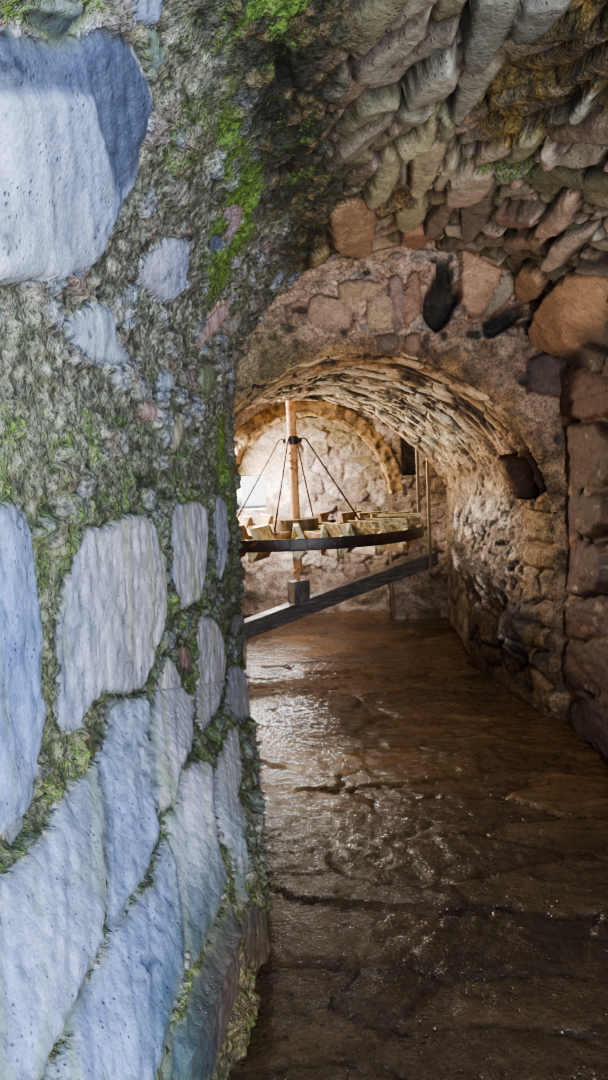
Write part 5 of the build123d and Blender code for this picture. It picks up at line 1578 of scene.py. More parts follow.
def face_ext(p, nrm):
    """Outside: coursed rubble with larger stones at the corners and round the mouth."""
    n = len(p)
    along_x = np.abs(nrm[:, 1]) > 0.5
    u = np.where(along_x, p[:, 0], p[:, 1])
    z = p[:, 2]
    s = uv3(u, z, 0.0) + np.where(along_x, 5.0, 0.0)[:, None] * np.array([0, 0, 1.0])
    q = np.stack([u, z], -1) + 0.014 * np.stack([noise(s, 4, 191), noise(s, 4, 192)], -1)
    kk, ed, du, dv = cells(q[:, 0], q[:, 1], 0.40, 0.20, 193, 0.5, 0.5, 0.35)
    h = -0.034 + dome(ed - 0.008, 0.05, 0.03) + 0.012 * (key2(kk, 1) - 0.5) + 0.006 * fbm(s, 6, 3, 194)
    c = mix(flat_colour(srgb(158, 148, 132), n), srgb(132, 120, 104), key2(kk, 2))
    c = mix(c, srgb(146, 118, 92), (key2(kk, 3) > 0.75) * 0.7)
    c = mix(c, srgb(170, 168, 164), (key2(kk, 4) > 0.8) * 0.7)
    joint = smooth(0.030, 0.006, ed)
    # long and short corner stones
    ends = np.where(along_x, np.where(p[:, 1] < 0, np.minimum(np.abs(u - PASS_OUT_L), np.abs(u - X_OUT)), np.abs(np.abs(u) - X_OUT)),
                    np.where(u < Y_CROSS, np.abs(u - Y_FRONT), np.minimum(np.abs(u - Y_REAR), np.where(p[:, 0] < 0, np.abs(u - Y_CROSS), 9))))
    crs = np.floor(z / 0.30)
    frac = z / 0.30 - crs
    long_ = (crs % 2 == 0) ^ along_x
    width = np.where(long_, 0.46, 0.27)
    qd = np.minimum(width - ends, np.minimum(frac, 1 - frac) * 0.30)
    quoin = ends < width
    kq = rnd(crs.astype(np.int64), along_x.astype(np.int64), (u > 0).astype(np.int64), 5)
    hq = -0.020 + dome(qd - 0.006, 0.03, 0.020) + 0.004 * fbm(s, 9, 3, 195)
    h = np.where(quoin, hq, h)
    c = np.where(quoin[:, None], mix(flat_colour(srgb(176, 168, 152), n), srgb(150, 140, 124), kq), c)
    joint = np.where(quoin, smooth(0.018, 0.004, qd), joint)
    # wedge stones round the mouth
    front = along_x & (p[:, 1] < -3.0)
    r = np.hypot(u - PASS_CX, z - PASS_SPRING)
    v_in = front & (z > PASS_SPRING) & (r < PASS_RAD + 0.30)
    th = np.arctan2(z - PASS_SPRING, u - PASS_CX)
    kv, ev, _, _ = cells(th * (PASS_RAD + 0.15), np.full(n, 0.5), 0.19, 1.0, 196, 0.35, 0.0, 0.0)
    vd = np.minimum(ev, PASS_RAD + 0.30 - r)
    hv = -0.016 + dome(vd - 0.005, 0.03, 0.016) + 0.006 * (kv - 0.5)
    h = np.where(v_in, hv, h)
    c = np.where(v_in[:, None], mix(flat_colour(srgb(172, 160, 140), n), srgb(142, 128, 110), kv), c)
    joint = np.where(v_in, smooth(0.016, 0.003, vd), joint)
    tint = mix(c * (1 + 0.12 * fbm(s, 5, 3, 197))[:, None], srgb(116, 106, 88), joint * 0.85)
    tint = mix(tint, tint * 0.72, smooth(0.5, 0.0, z) * 0.6)
    moss = 0.45 * smooth(0.15, 0.6, fbm(s, 2, 3, 198)) * smooth(0.7, 0.1, z) + 0.25 * smooth(0.3, 0.6, fbm(s, 3, 3, 199)) * smooth(2.6, 3.2, z)
    return h, tint, np.full(n, 0.05), moss, 0.25 + 0.6 * joint


def face_top(p):
    n = len(p)
    s = uv3(p[:, 0], p[:, 1], 9.0)
    q = p[:, :2] + 0.02 * np.stack([noise(s, 3, 201), noise(s, 3, 202)], -1)
    kk, ed, du, dv = cells(q[:, 0], q[:, 1], 0.55, 0.42, 203, 0.55, 0.5, 0.4)
    h = -0.014 + dome(ed - 0.010, 0.03, 0.012) + 0.005 * (key2(kk, 1) - 0.5)
    c = mix(flat_colour(srgb(160, 152, 138), n), srgb(134, 126, 112), key2(kk, 2))
    tint = mix(c * (1 + 0.14 * fbm(s, 4, 3, 204))[:, None], srgb(98, 92, 76), smooth(0.035, 0.008, ed) * 0.8)
    return np.minimum(h, 0.0), tint, np.full(n, 0.0), 0.35 * smooth(0.2, 0.6, fbm(s, 2.2, 3, 205)), np.full(n, 0.3)


def face_inner(p, nrm):
    n = len(p)
    s = p * 1.0
    h = 0.010 * fbm(s, 8, 4, 211)
    tint = flat_colour(srgb(84, 68, 52), n) * (1 + 0.2 * fbm(s, 9, 3, 212))[:, None]
    lo_, hi_ = np.array(SOCKET[0::2]) - 0.03, np.array(SOCKET[1::2]) + 0.03
    tint = np.where(np.all((p > lo_) & (p < hi_), axis=1)[:, None], tint * np.array([0.50, 0.38, 0.28]), tint)
    return h, tint, np.full(n, 0.35), np.zeros(n), np.full(n, 0.5)


def face(zone, p, nrm, name):
    if zone in ("left", "foot"):
        return face_left(p)
    if zone == "vault":
        th = np.arctan2(p[:, 2] - PASS_SPRING, p[:, 0] - PASS_CX)
        s = uv3(p[:, 1], th)
        t = smooth(2.08, 2.30, th + 0.10 * noise(s, 4, 221))
        r = smooth(0.42, 0.24, th + 0.08 * noise(s, 5, 222))
        a, b, c = face_left(p), face_vault(p), face_right(p)
        out = []
        for i in range(5):
            w1 = t if a[i].ndim == 1 else t[:, None]
            w2 = r if a[i].ndim == 1 else r[:, None]
            out.append((b[i] * (1 - w1) + a[i] * w1) * (1 - w2) + c[i] * w2)
        return tuple(out)
    if zone == "cross":
        main = face_cross(p)
        e = face_ext(p, nrm)
        o = p[:, 0] < PASS_OUT_L
        rt = smooth(1.30, 1.40, p[:, 0]) * smooth(2.0, 1.5, p[:, 2])
        c = list(face_right(np.stack([p[:, 0] - 2.4, p[:, 1], p[:, 2]], -1)[:, [1, 0, 2]]))
        sx = uv3(p[:, 0], p[:, 2], 7.0)
        lump = fbm(sx, 8, 5, 223, 0.66)
        c[0] = -0.012 + 0.050 * lump
        shut = smooth(PASS_R - 0.12, PASS_R - 0.03, p[:, 0])
        c[0] = c[0] * (1 - shut) + np.maximum(c[0], 0.008) * shut
        c[1] = mix(flat_colour(srgb(74, 56, 42), len(p)), srgb(142, 114, 90), smooth(-0.25, 0.45, lump))
        c[4] = np.full(len(p), 0.8)
        out = []
        for i in range(5):
            w1 = rt if main[i].ndim == 1 else rt[:, None]
            oo = o if main[i].ndim == 1 else o[:, None]
            out.append(np.where(oo, e[i], main[i] * (1 - w1) + c[i] * w1))
        return tuple(out)
    if zone == "throat":
        return face_throat(p)
    if zone == "right":
        return face_right(p)
    if zone == "floor":
        return face_floor(p)
    if zone == "back":
        return face_back(p)
    if zone == "ring":
        return face_ring(p)
    if zone == "chamber":
        return face_chamber(p)
    if zone == "chvault":
        return face_chvault(p)
    if zone == "ext":
        return face_ext(p, nrm)
    if zone == "top":
        return face_top(p)
    return face_inner(p, nrm)


# ------------------------------------------------------------------ materials


def nodes_of(name):
    mat = bpy.data.materials.new(name)
    mat.use_nodes = True
    nt = mat.node_tree
    nt.nodes.clear()
    out = nt.nodes.new("ShaderNodeOutputMaterial")
    bsdf = nt.nodes.new("ShaderNodeBsdfPrincipled")
    nt.links.new(bsdf.outputs[0], out.inputs[0])
    return mat, nt, bsdf


def N(nt, kind, **kw):
    node = nt.nodes.new(kind)
    for k, v in kw.items():
        if k.startswith("i_"):
            node.inputs[k[2:].replace("_", " ")].default_value = v
        else:
            setattr(node, k, v)
    return node


def noise_node(nt, vec, scale, detail=4.0, rough=0.6, distort=0.0):
    t = N(nt, "ShaderNodeTexNoise")
    t.inputs["Scale"].default_value = scale
    t.inputs["Detail"].default_value = detail
    t.inputs["Roughness"].default_value = rough
    t.inputs["Distortion"].default_value = distort
    nt.links.new(vec, t.inputs["Vector"])
    return t.outputs["Fac"]


def ramp(nt, fac, stops):
    r = N(nt, "ShaderNodeValToRGB")
    el = r.color_ramp.elements
    while len(el) > 1:
        el.remove(el[-1])
    for k, (pos, col) in enumerate(stops):
        e = el[0] if k == 0 else el.new(pos)
        e.position = pos
        if isinstance(col, (int, float)):
            col = (col, col, col)
        e.color = (float(col[0]), float(col[1]), float(col[2]), 1.0)
    nt.links.new(fac, r.inputs["Fac"])
    return r.outputs["Color"]


def math_node(nt, op, a, b=None, clamp=False):
    m_ = N(nt, "ShaderNodeMath", operation=op, use_clamp=clamp)
    for k, v in enumerate((a, b)):
        if v is None:
            continue
        if isinstance(v, (int, float)):
            m_.inputs[k].default_value = v
        else:
            nt.links.new(v, m_.inputs[k])
    return m_.outputs[0]


def mix_node(nt, fac, a, b, mode="MIX"):
    m_ = N(nt, "ShaderNodeMix", data_type="RGBA", blend_type=mode)
    for sock, v in ((m_.inputs[0], fac), (m_.inputs[6], a), (m_.inputs[7], b)):
        if isinstance(v, (int, float)):
            sock.default_value = v
        elif isinstance(v, (tuple, list, np.ndarray)):
            sock.default_value = (float(v[0]), float(v[1]), float(v[2]), 1.0)
        else:
            nt.links.new(v, sock)
    return m_.outputs[2]


def stone_material(name, speck=0.22, grain=150.0, pit=0.5, bump=0.0035, gloss=(0.92, 0.30), moss_col=(98, 122, 52), flake=0.0):
    """Colour, wetness and moss come with the mesh; grain, pits and fuzz are added here."""
    mat, nt, bsdf = nodes_of(name)
    geo = N(nt, "ShaderNodeTexCoord").outputs["Object"]
    tint = N(nt, "ShaderNodeAttribute", attribute_name="tint").outputs["Color"]
    wet = N(nt, "ShaderNodeAttribute", attribute_name="wet").outputs["Fac"]
    moss = N(nt, "ShaderNodeAttribute", attribute_name="moss").outputs["Fac"]
    crumb = N(nt, "ShaderNodeAttribute", attribute_name="crumb").outputs["Fac"]
    coarse = noise_node(nt, geo, grain * 0.16, 3.0, 0.65)
    grit = noise_node(nt, geo, 62.0, 3.0, 0.75)
    clod = noise_node(nt, geo, 21.0, 2.0, 0.7)
    fine = noise_node(nt, geo, grain, 2.0, 0.7)
    grainy = ramp(nt, fine, [(0.25, 1 - speck * 1.6), (0.5, 1.0), (0.75, 1 + speck)])
    col = mix_node(nt, 1.0, tint, grainy, "MULTIPLY")
    col = mix_node(nt, 1.0, col, ramp(nt, coarse, [(0.3, (0.80, 0.79, 0.76)), (0.5, (1.0, 1.0, 1.0)), (0.72, (1.16, 1.13, 1.08))]), "MULTIPLY")
    gritty = ramp(nt, grit, [(0.36, (0.22, 0.21, 0.19)), (0.46, (0.80, 0.79, 0.76)), (0.55, (1.05, 1.04, 1.0)), (0.66, (1.75, 1.68, 1.55))])
    col = mix_node(nt, math_node(nt, "MULTIPLY", crumb, 0.9), col, mix_node(nt, 1.0, col, gritty, "MULTIPLY"))
    cloddy = ramp(nt, clod, [(0.34, (0.42, 0.40, 0.36)), (0.5, (1.0, 1.0, 1.0)), (0.68, (1.30, 1.26, 1.18))])
    col = mix_node(nt, math_node(nt, "MULTIPLY", crumb, 0.8), col, mix_node(nt, 1.0, col, cloddy, "MULTIPLY"))
    dash = None
    if name == "tufa_vault":
        flow = N(nt, "ShaderNodeAttribute", attribute_name="flow").outputs["Vector"]
        slab = N(nt, "ShaderNodeAttribute", attribute_name="slab").outputs["Fac"]
        m1 = N(nt, "ShaderNodeMapping")
        m1.inputs["Scale"].default_value = (8.0, 27.0, 1.0)
        nt.links.new(flow, m1.inputs["Vector"])
        m2 = N(nt, "ShaderNodeMapping")
        m2.inputs["Scale"].default_value = (17.0, 62.0, 1.0)
        nt.links.new(flow, m2.inputs["Vector"])
        d1 = ramp(nt, noise_node(nt, m1.outputs[0], 1.0, 4.0, 0.62, 0.5), [(0.448, 1.0), (0.482, 0.0)])
        d2 = ramp(nt, noise_node(nt, m2.outputs[0], 1.0, 3.0, 0.6, 0.4), [(0.37, 0.8), (0.44, 0.0)])
        dash = math_node(nt, "MULTIPLY", math_node(nt, "MAXIMUM", d1, d2), slab)
        # painted shadow in the dark dashes, which are also cut into the bump, and a painted highlight on the light
        # streaks
        col = mix_node(nt, math_node(nt, "MULTIPLY", dash, 0.94), col, (0.026, 0.016, 0.009))
        painted_highlight = ramp(nt, noise_node(nt, m1.outputs[0], 1.0, 4.0, 0.62, 0.5), [(0.52, 0.0), (0.62, 1.0)])
        col = mix_node(nt, math_node(nt, "MULTIPLY", math_node(nt, "MULTIPLY", painted_highlight, slab), 0.62), col, (0.95, 0.82, 0.60))
    chips = None
    if flake:
        # the skin comes off in small scales
        mp = N(nt, "ShaderNodeMapping")
        mp.inputs["Scale"].default_value = (30.0, 30.0, 17.0)
        wob = N(nt, "ShaderNodeTexNoise")
        wob.inputs["Scale"].default_value = 26.0
        wob.inputs["Detail"].default_value = 3.0
        nt.links.new(geo, wob.inputs["Vector"])
        shift = N(nt, "ShaderNodeVectorMath", operation="SCALE")
        shift.inputs[3].default_value = 0.045
        nt.links.new(wob.outputs["Color"], shift.inputs[0])
        add = N(nt, "ShaderNodeVectorMath", operation="ADD")
        nt.links.new(geo, add.inputs[0])
        nt.links.new(shift.outputs[0], add.inputs[1])
        nt.links.new(add.outputs[0], mp.inputs["Vector"])
        fl = N(nt, "ShaderNodeTexVoronoi")
        fl.inputs["Scale"].default_value = 1.0
        nt.links.new(mp.outputs[0], fl.inputs["Vector"])
        sep = N(nt, "ShaderNodeSeparateColor")
        nt.links.new(fl.outputs["Color"], sep.inputs[0])
        bare = math_node(nt, "SUBTRACT", 1.0, crumb, True)
        shade_ = ramp(nt, sep.outputs[0], [(0.0, (0.80, 0.80, 0.78)), (0.45, (0.98, 0.98, 0.98)), (1.0, (1.14, 1.13, 1.12))])
        col = mix_node(nt, math_node(nt, "MULTIPLY", bare, flake), col, mix_node(nt, 1.0, col, shade_, "MULTIPLY"))
        chips = math_node(nt, "MULTIPLY", math_node(nt, "MULTIPLY", bare, flake),
                          math_node(nt, "ADD", math_node(nt, "MULTIPLY", sep.outputs[1], 2.2), math_node(nt, "MULTIPLY", fl.outputs["Distance"], -1.6)))
    # small dark pits
    vor = N(nt, "ShaderNodeTexVoronoi")
    vor.inputs["Scale"].default_value = grain * 0.42
    nt.links.new(geo, vor.inputs["Vector"])
    where = ramp(nt, noise_node(nt, geo, grain * 0.09, 1.0, 0.5), [(0.46, 0.0), (0.62, 1.0)])
    hole = math_node(nt, "MULTIPLY", ramp(nt, vor.outputs["Distance"], [(0.10, 1.0), (0.26, 0.0)]), where)
    col = mix_node(nt, math_node(nt, "MULTIPLY", hole, pit), col, (0.03, 0.026, 0.02))
    # moss grows in tufts
    tuft = noise_node(nt, geo, 95.0, 2.0, 0.7)
    g = math_node(nt, "ADD", moss, math_node(nt, "MULTIPLY", math_node(nt, "SUBTRACT", tuft, 0.5), 1.5))
    cover = math_node(nt, "MULTIPLY", ramp(nt, g, [(0.40, 0.0), (0.62, 1.0)]), ramp(nt, moss, [(0.02, 0.0), (0.15, 1.0)]))
    c0 = srgb(*moss_col)
    mosscol = ramp(nt, noise_node(nt, geo, 60.0, 1.0, 0.6), [(0.3, c0 * 0.35), (0.52, c0), (0.75, c0 * np.array([1.7, 1.6, 1.3]))])
    col = mix_node(nt, cover, col, mosscol)
    nt.links.new(col, bsdf.inputs["Base Color"])
    rough = N(nt, "ShaderNodeMapRange")
    rough.inputs["From Min"].default_value = 0.0
    rough.inputs["From Max"].default_value = 1.0
    rough.inputs["To Min"].default_value = gloss[0]
    rough.inputs["To Max"].default_value = gloss[1]
    wn = math_node(nt, "MULTIPLY", wet, math_node(nt, "ADD", math_node(nt, "MULTIPLY", coarse, 1.2), 0.35))
    nt.links.new(wn, rough.inputs["Value"])
    nt.links.new(rough.outputs[0], bsdf.inputs["Roughness"])
    bsdf.inputs["Specular IOR Level"].default_value = 0.22 if name == "dark_stone" else 0.5
    hgt = math_node(nt, "ADD", math_node(nt, "MULTIPLY", fine, 0.5), math_node(nt, "MULTIPLY", coarse, 1.4))
    hgt = math_node(nt, "SUBTRACT", hgt, math_node(nt, "MULTIPLY", hole, 0.9))
    hgt = math_node(nt, "ADD", hgt, math_node(nt, "MULTIPLY", cover, math_node(nt, "MULTIPLY", tuft, 1.6)))
    hgt = math_node(nt, "ADD", hgt, math_node(nt, "MULTIPLY", crumb, math_node(nt, "MULTIPLY", grit, 5.0)))
    if chips is not None:
        hgt = math_node(nt, "ADD", hgt, chips)
    if dash is not None:
        hgt = math_node(nt, "SUBTRACT", hgt, math_node(nt, "MULTIPLY", dash, 3.0))
    b = N(nt, "ShaderNodeBump")
    b.inputs["Strength"].default_value = 1.0
    b.inputs["Distance"].default_value = bump
    nt.links.new(hgt, b.inputs["Height"])
    nt.links.new(b.outputs[0], bsdf.inputs["Normal"])
    return mat


STONE = {
    "limestone_wall": stone_material("limestone_wall", 0.16, 150, 0.75, 0.0030, (0.85, 0.30), flake=0.9),
    "dark_stone": stone_material("dark_stone", 0.25, 130, 0.4, 0.0035, (0.8, 0.22)),
    "vault_stone": stone_material("vault_stone", 0.25, 120, 0.5, 0.0045),
    "pink_rubble": stone_material("pink_rubble", 0.25, 140, 0.6, 0.0045),
    "tufa_vault": stone_material("tufa_vault", 0.28, 140, 0.55, 0.0045, (0.85, 0.25)),
    "chamber_stone": stone_material("chamber_stone", 0.25, 120, 0.5, 0.0045, (0.8, 0.25)),
    "ochre_stone": stone_material("ochre_stone", 0.22, 120, 0.4, 0.0035, (0.8, 0.3)),
    "floor_stone": stone_material("floor_stone", 0.30, 90, 0.3, 0.0046, (0.62, 0.16)),
    "deck_stone": stone_material("deck_stone", 0.22, 110, 0.4, 0.0035),
    "outer_stone": stone_material("outer_stone", 0.22, 110, 0.45, 0.0045),
}

SLOT_OF = {}
for sub in frame["record"].get("subparts", []):
    SLOT_OF[sub["node"]] = sub["material_slot"]

# ------------------------------------------------------------------ stonework pieces


def stonework(name):
    pos, tris, owner, kinds, open_tri = remesh(name)
    n = len(pos)
    move = np.zeros((n, 3))
    tint = np.tile(srgb(84, 68, 52), (n, 1))
    wet, moss, crumb = np.full(n, 0.3), np.zeros(n), np.full(n, 0.5)
    done = np.zeros(n, int)
    outside = np.zeros(len(kinds), bool)
    lo_r, hi_r = np.full(n, 10 ** 6), np.full(n, -1)
    np.minimum.at(lo_r, tris.ravel(), np.repeat(owner, 3))
    np.maximum.at(hi_r, tris.ravel(), np.repeat(owner, 3))
    for r, kd in enumerate(kinds):
        if kd is None or kd.zone == "hidden":
            continue
        t = tris[(owner == r) & open_tri]
        if not len(t):
            continue
        idx = np.unique(t)
        p = pos[idx]
        if kd.zone in ("left", "foot", "vault"):
            p = slide(kd.zone, p, lo_r[idx] == hi_r[idx])
            pos[idx] = p
        nr = kd.normal(p)
        h, c, w, ms, cr = face(kd.zone, p, nr, name)
        move[idx] += h[:, None] * nr
        first = done[idx] == 0
        tint[idx[first]] = np.clip(c[first], 0, 1)
        wet[idx[first]] = w[first]
        moss[idx[first]] = ms[first]
        crumb[idx[first]] = cr[first]
        done[idx] += 1
        outside[r] = kd.zone in ("ext", "top")
    # steps between stone and joint would show the grid as teeth: even them out
    ea = np.concatenate([tris[:, 0], tris[:, 1], tris[:, 2]])
    eb = np.concatenate([tris[:, 1], tris[:, 2], tris[:, 0]])
    ia, ib = np.concatenate([ea, eb]), np.concatenate([eb, ea])
    deg = np.maximum(np.bincount(ia, minlength=n), 1)
    mean = lambda v: np.stack([np.bincount(ia, v[ib, c], n) for c in range(v.shape[1])], -1) / deg[:, None]
    off = np.linalg.norm(move - mean(move), axis=1)
    w_ = np.where(lo_r == hi_r, 0.40 * smooth(0.004, 0.012, off), 0.0)[:, None]
    move = move * (1 - w_) + mean(move) * w_
    # neighbours reach a little into each other where they meet, so that no slit opens
    side = tris[~open_tri]
    if len(side):
        fn = np.cross(pos[side[:, 1]] - pos[side[:, 0]], pos[side[:, 2]] - pos[side[:, 0]])
        fn /= np.maximum(np.linalg.norm(fn, axis=1), 1e-12)[:, None]
        acc = np.stack([np.bincount(side.ravel(), np.repeat(fn[:, c], 3), n) for c in range(3)], -1)
        acc /= np.maximum(np.linalg.norm(acc, axis=1), 1e-9)[:, None]
        seam = np.zeros(n, bool)
        seam[side.ravel()] = True
        here = np.zeros(n, bool)
        here[tris[open_tri].ravel()] = True
        here &= pos[:, 2] > 0.002          # not down into the ground
        move[seam & here] += 0.004 * acc[seam & here]
    pos = pos + move
    me = bpy.data.meshes.new(name + "_stonework")
    me.vertices.add(n)
    me.vertices.foreach_set("co", pos.astype(np.float32).ravel())
    me.loops.add(len(tris) * 3)
    me.loops.foreach_set("vertex_index", tris.astype(np.int32).ravel())
    me.polygons.add(len(tris))
    me.polygons.foreach_set("loop_start", np.arange(0, len(tris) * 3, 3, dtype=np.int32))
    me.polygons.foreach_set("loop_total", np.full(len(tris), 3, np.int32))
    me.polygons.foreach_set("material_index", outside[owner].astype(np.int32))
    me.polygons.foreach_set("use_smooth", open_tri)
    me.update(calc_edges=True)
    me.validate()
    a = me.attributes.new("tint", "FLOAT_COLOR", "POINT")
    a.data.foreach_set("color", np.concatenate([tint, np.ones((n, 1))], 1).astype(np.float32).ravel())
    for key, val in (("wet", wet), ("moss", moss), ("crumb", crumb)):
        a = me.attributes.new(key, "FLOAT", "POINT")
        a.data.foreach_set("value", np.clip(val, 0, 1).astype(np.float32))
    if SLOT_OF.get(name) == "tufa_vault":
        sa, yy = throat_uv(pos)
        st = uv3(sa, yy)
        bend = yy + 0.045 * noise(st, (1.3, 1.6, 1), 121) + 0.010 * noise(st, (7, 9, 1), 120) + 0.08 * (sa / (math.pi * R0) - 0.5) ** 2
        a = me.attributes.new("flow", "FLOAT_VECTOR", "POINT")
        a.data.foreach_set("vector", uv3(sa, bend).astype(np.float32).ravel())
        keep = smooth(2.85, 2.35, sa + 0.14 * noise(st, 4, 127)) * smooth(-0.1, 0.1, sa)
        a = me.attributes.new("slab", "FLOAT", "POINT")
        a.data.foreach_set("value", (keep * np.clip(0.35 + 0.65 * smooth(-0.8, 0.3, noise(st, 1.9, 125) + 0.35), 0, 1)).astype(np.float32))
    ob = bpy.data.objects.new(name + "_stonework", me)
    bpy.context.scene.collection.objects.link(ob)
    slot = SLOT_OF.get(name, "chamber_stone")
    me.materials.append(STONE[slot])
    me.materials.append(STONE["outer_stone"])
    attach(ob, "masonry")
    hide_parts(name)
    return ob


MASONRY = [n for n in sorted(NODES) if SLOT_OF.get(n) in STONE and n != "sole_tree_block"]
tri_total = 0
for node in MASONRY:
    ob = stonework(node)
    tri_total += len(ob.data.polygons)
clock("stonework: %d triangles" % tri_total)

# ------------------------------------------------------------------ timber and iron


def wood_material(name, stops, stain, rough=(0.35, 0.75), scale=1.0, bump=0.0015, algae=(88, 84, 34), dark=0.55):
    mat, nt, bsdf = nodes_of(name)
    co = N(nt, "ShaderNodeAttribute", attribute_name="grain").outputs["Vector"]
    each = N(nt, "ShaderNodeAttribute", attribute_name="each").outputs["Fac"]
    spot = N(nt, "ShaderNodeAttribute", attribute_name="spot").outputs["Fac"]
    geo = N(nt, "ShaderNodeTexCoord").outputs["Object"]
    fib = noise_node(nt, co, 55.0 * scale, 5.0, 0.65, 0.6)
    line = noise_node(nt, co, 150.0 * scale, 3.0, 0.6, 0.3)
    blot = noise_node(nt, geo, 9.0, 4.0, 0.6)
    col = ramp(nt, fib, stops)
    col = mix_node(nt, 1.0, col, ramp(nt, line, [(0.30, 1 - dark), (0.48, 1.0), (0.75, 1.12)]), "MULTIPLY")
    col = mix_node(nt, 1.0, col, ramp(nt, each, [(0.0, (0.72, 0.70, 0.62)), (0.5, (0.95, 0.93, 0.90)), (1.0, (1.10, 1.08, 1.02))]), "MULTIPLY")
    green = math_node(nt, "MULTIPLY", ramp(nt, blot, [(0.44, 0.0), (0.62, 1.0)]), 0.55)
    col = mix_node(nt, green, col, srgb(*algae))
    g = math_node(nt, "ADD", spot, math_node(nt, "MULTIPLY", math_node(nt, "SUBTRACT", noise_node(nt, geo, 24.0, 4.0, 0.65), 0.5), 1.1))
    col = mix_node(nt, math_node(nt, "MULTIPLY", ramp(nt, g, [(0.35, 0.0), (0.62, 1.0)]), 0.9), col, srgb(*stain))
    nt.links.new(col, bsdf.inputs["Base Color"])
    r = N(nt, "ShaderNodeMapRange")
    r.inputs["To Min"].default_value = rough[0]
    r.inputs["To Max"].default_value = rough[1]
    nt.links.new(ramp(nt, blot, [(0.35, 0.0), (0.65, 1.0)]), r.inputs["Value"])
    nt.links.new(r.outputs[0], bsdf.inputs["Roughness"])
    b = N(nt, "ShaderNodeBump")
    b.inputs["Strength"].default_value = 1.0
    b.inputs["Distance"].default_value = bump
    nt.links.new(math_node(nt, "ADD", line, fib), b.inputs["Height"])
    nt.links.new(b.outputs[0], bsdf.inputs["Normal"])
    return mat


def iron_material(name, base, rust, amount, metal=0.35, rough=(0.35, 0.75), bump=0.0012, scale=1.0):
    mat, nt, bsdf = nodes_of(name)
    geo = N(nt, "ShaderNodeTexCoord").outputs["Object"]
    a = noise_node(nt, geo, 26.0 * scale, 6.0, 0.7)
    f = noise_node(nt, geo, 160.0 * scale, 4.0, 0.7)
    patch = ramp(nt, a, [(0.62 - 0.35 * amount, 0.0), (0.74 - 0.35 * amount, 1.0)])
    c0, c1 = srgb(*base), srgb(*rust)
    col = mix_node(nt, patch, ramp(nt, f, [(0.3, c0 * 0.5), (0.5, c0), (0.72, c0 * 1.5)]),
                   ramp(nt, f, [(0.28, c1 * 0.35), (0.5, c1), (0.72, c1 * 1.5)]))
    nt.links.new(col, bsdf.inputs["Base Color"])
    m_ = N(nt, "ShaderNodeMapRange")
    m_.inputs["To Min"].default_value = metal
    m_.inputs["To Max"].default_value = 0.0
    nt.links.new(patch, m_.inputs["Value"])
    nt.links.new(m_.outputs[0], bsdf.inputs["Metallic"])
    r = N(nt, "ShaderNodeMapRange")
    r.inputs["To Min"].default_value = rough[0]
    r.inputs["To Max"].default_value = rough[1]
    nt.links.new(math_node(nt, "ADD", math_node(nt, "MULTIPLY", patch, 0.6), math_node(nt, "MULTIPLY", f, 0.4)), r.inputs["Value"])
    nt.links.new(r.outputs[0], bsdf.inputs["Roughness"])
    b = N(nt, "ShaderNodeBump")
    b.inputs["Strength"].default_value = 1.0
    b.inputs["Distance"].default_value = bump
    nt.links.new(math_node(nt, "ADD", f, math_node(nt, "MULTIPLY", a, 2.0)), b.inputs["Height"])
    nt.links.new(b.outputs[0], bsdf.inputs["Normal"])
    return mat


PADDLE = wood_material("paddle_wood", [(0.25, srgb(150, 128, 84)), (0.45, srgb(206, 190, 146)), (0.6, srgb(228, 216, 176)), (0.8, srgb(188, 166, 120))],
                       (92, 58, 34), (0.30, 0.65), 1.0, 0.0020, (166, 150, 96))
OLD = wood_material("old_wood", [(0.25, srgb(60, 44, 32)), (0.5, srgb(104, 80, 56)), (0.75, srgb(138, 110, 80))], (58, 34, 20), (0.35, 0.8), 1.0, 0.0025, (70, 66, 36))
BEAM = wood_material("beam_wood", [(0.25, srgb(56, 52, 54)), (0.5, srgb(94, 88, 88)), (0.75, srgb(134, 126, 122))], (48, 42, 40), (0.25, 0.6), 1.0, 0.0025, (56, 54, 40))
RUSTY = iron_material("rusty_iron", (186, 144, 100), (150, 98, 58), 0.42, 0.05, (0.50, 0.80), 0.0016, 0.8)
BLACK = iron_material("dark_iron", (46, 38, 36), (96, 54, 30), 0.25, 0.45, (0.28, 0.65), 0.0010)
RODS = iron_material("rod_iron", (60, 46, 38), (78, 50, 32), 0.40, 0.30, (0.40, 0.75), 0.0006, 2.0)
STRAP = iron_material("strap_iron", (132, 122, 108), (120, 78, 48), 0.22, 0.45, (0.35, 0.65), 0.0006, 2.0)


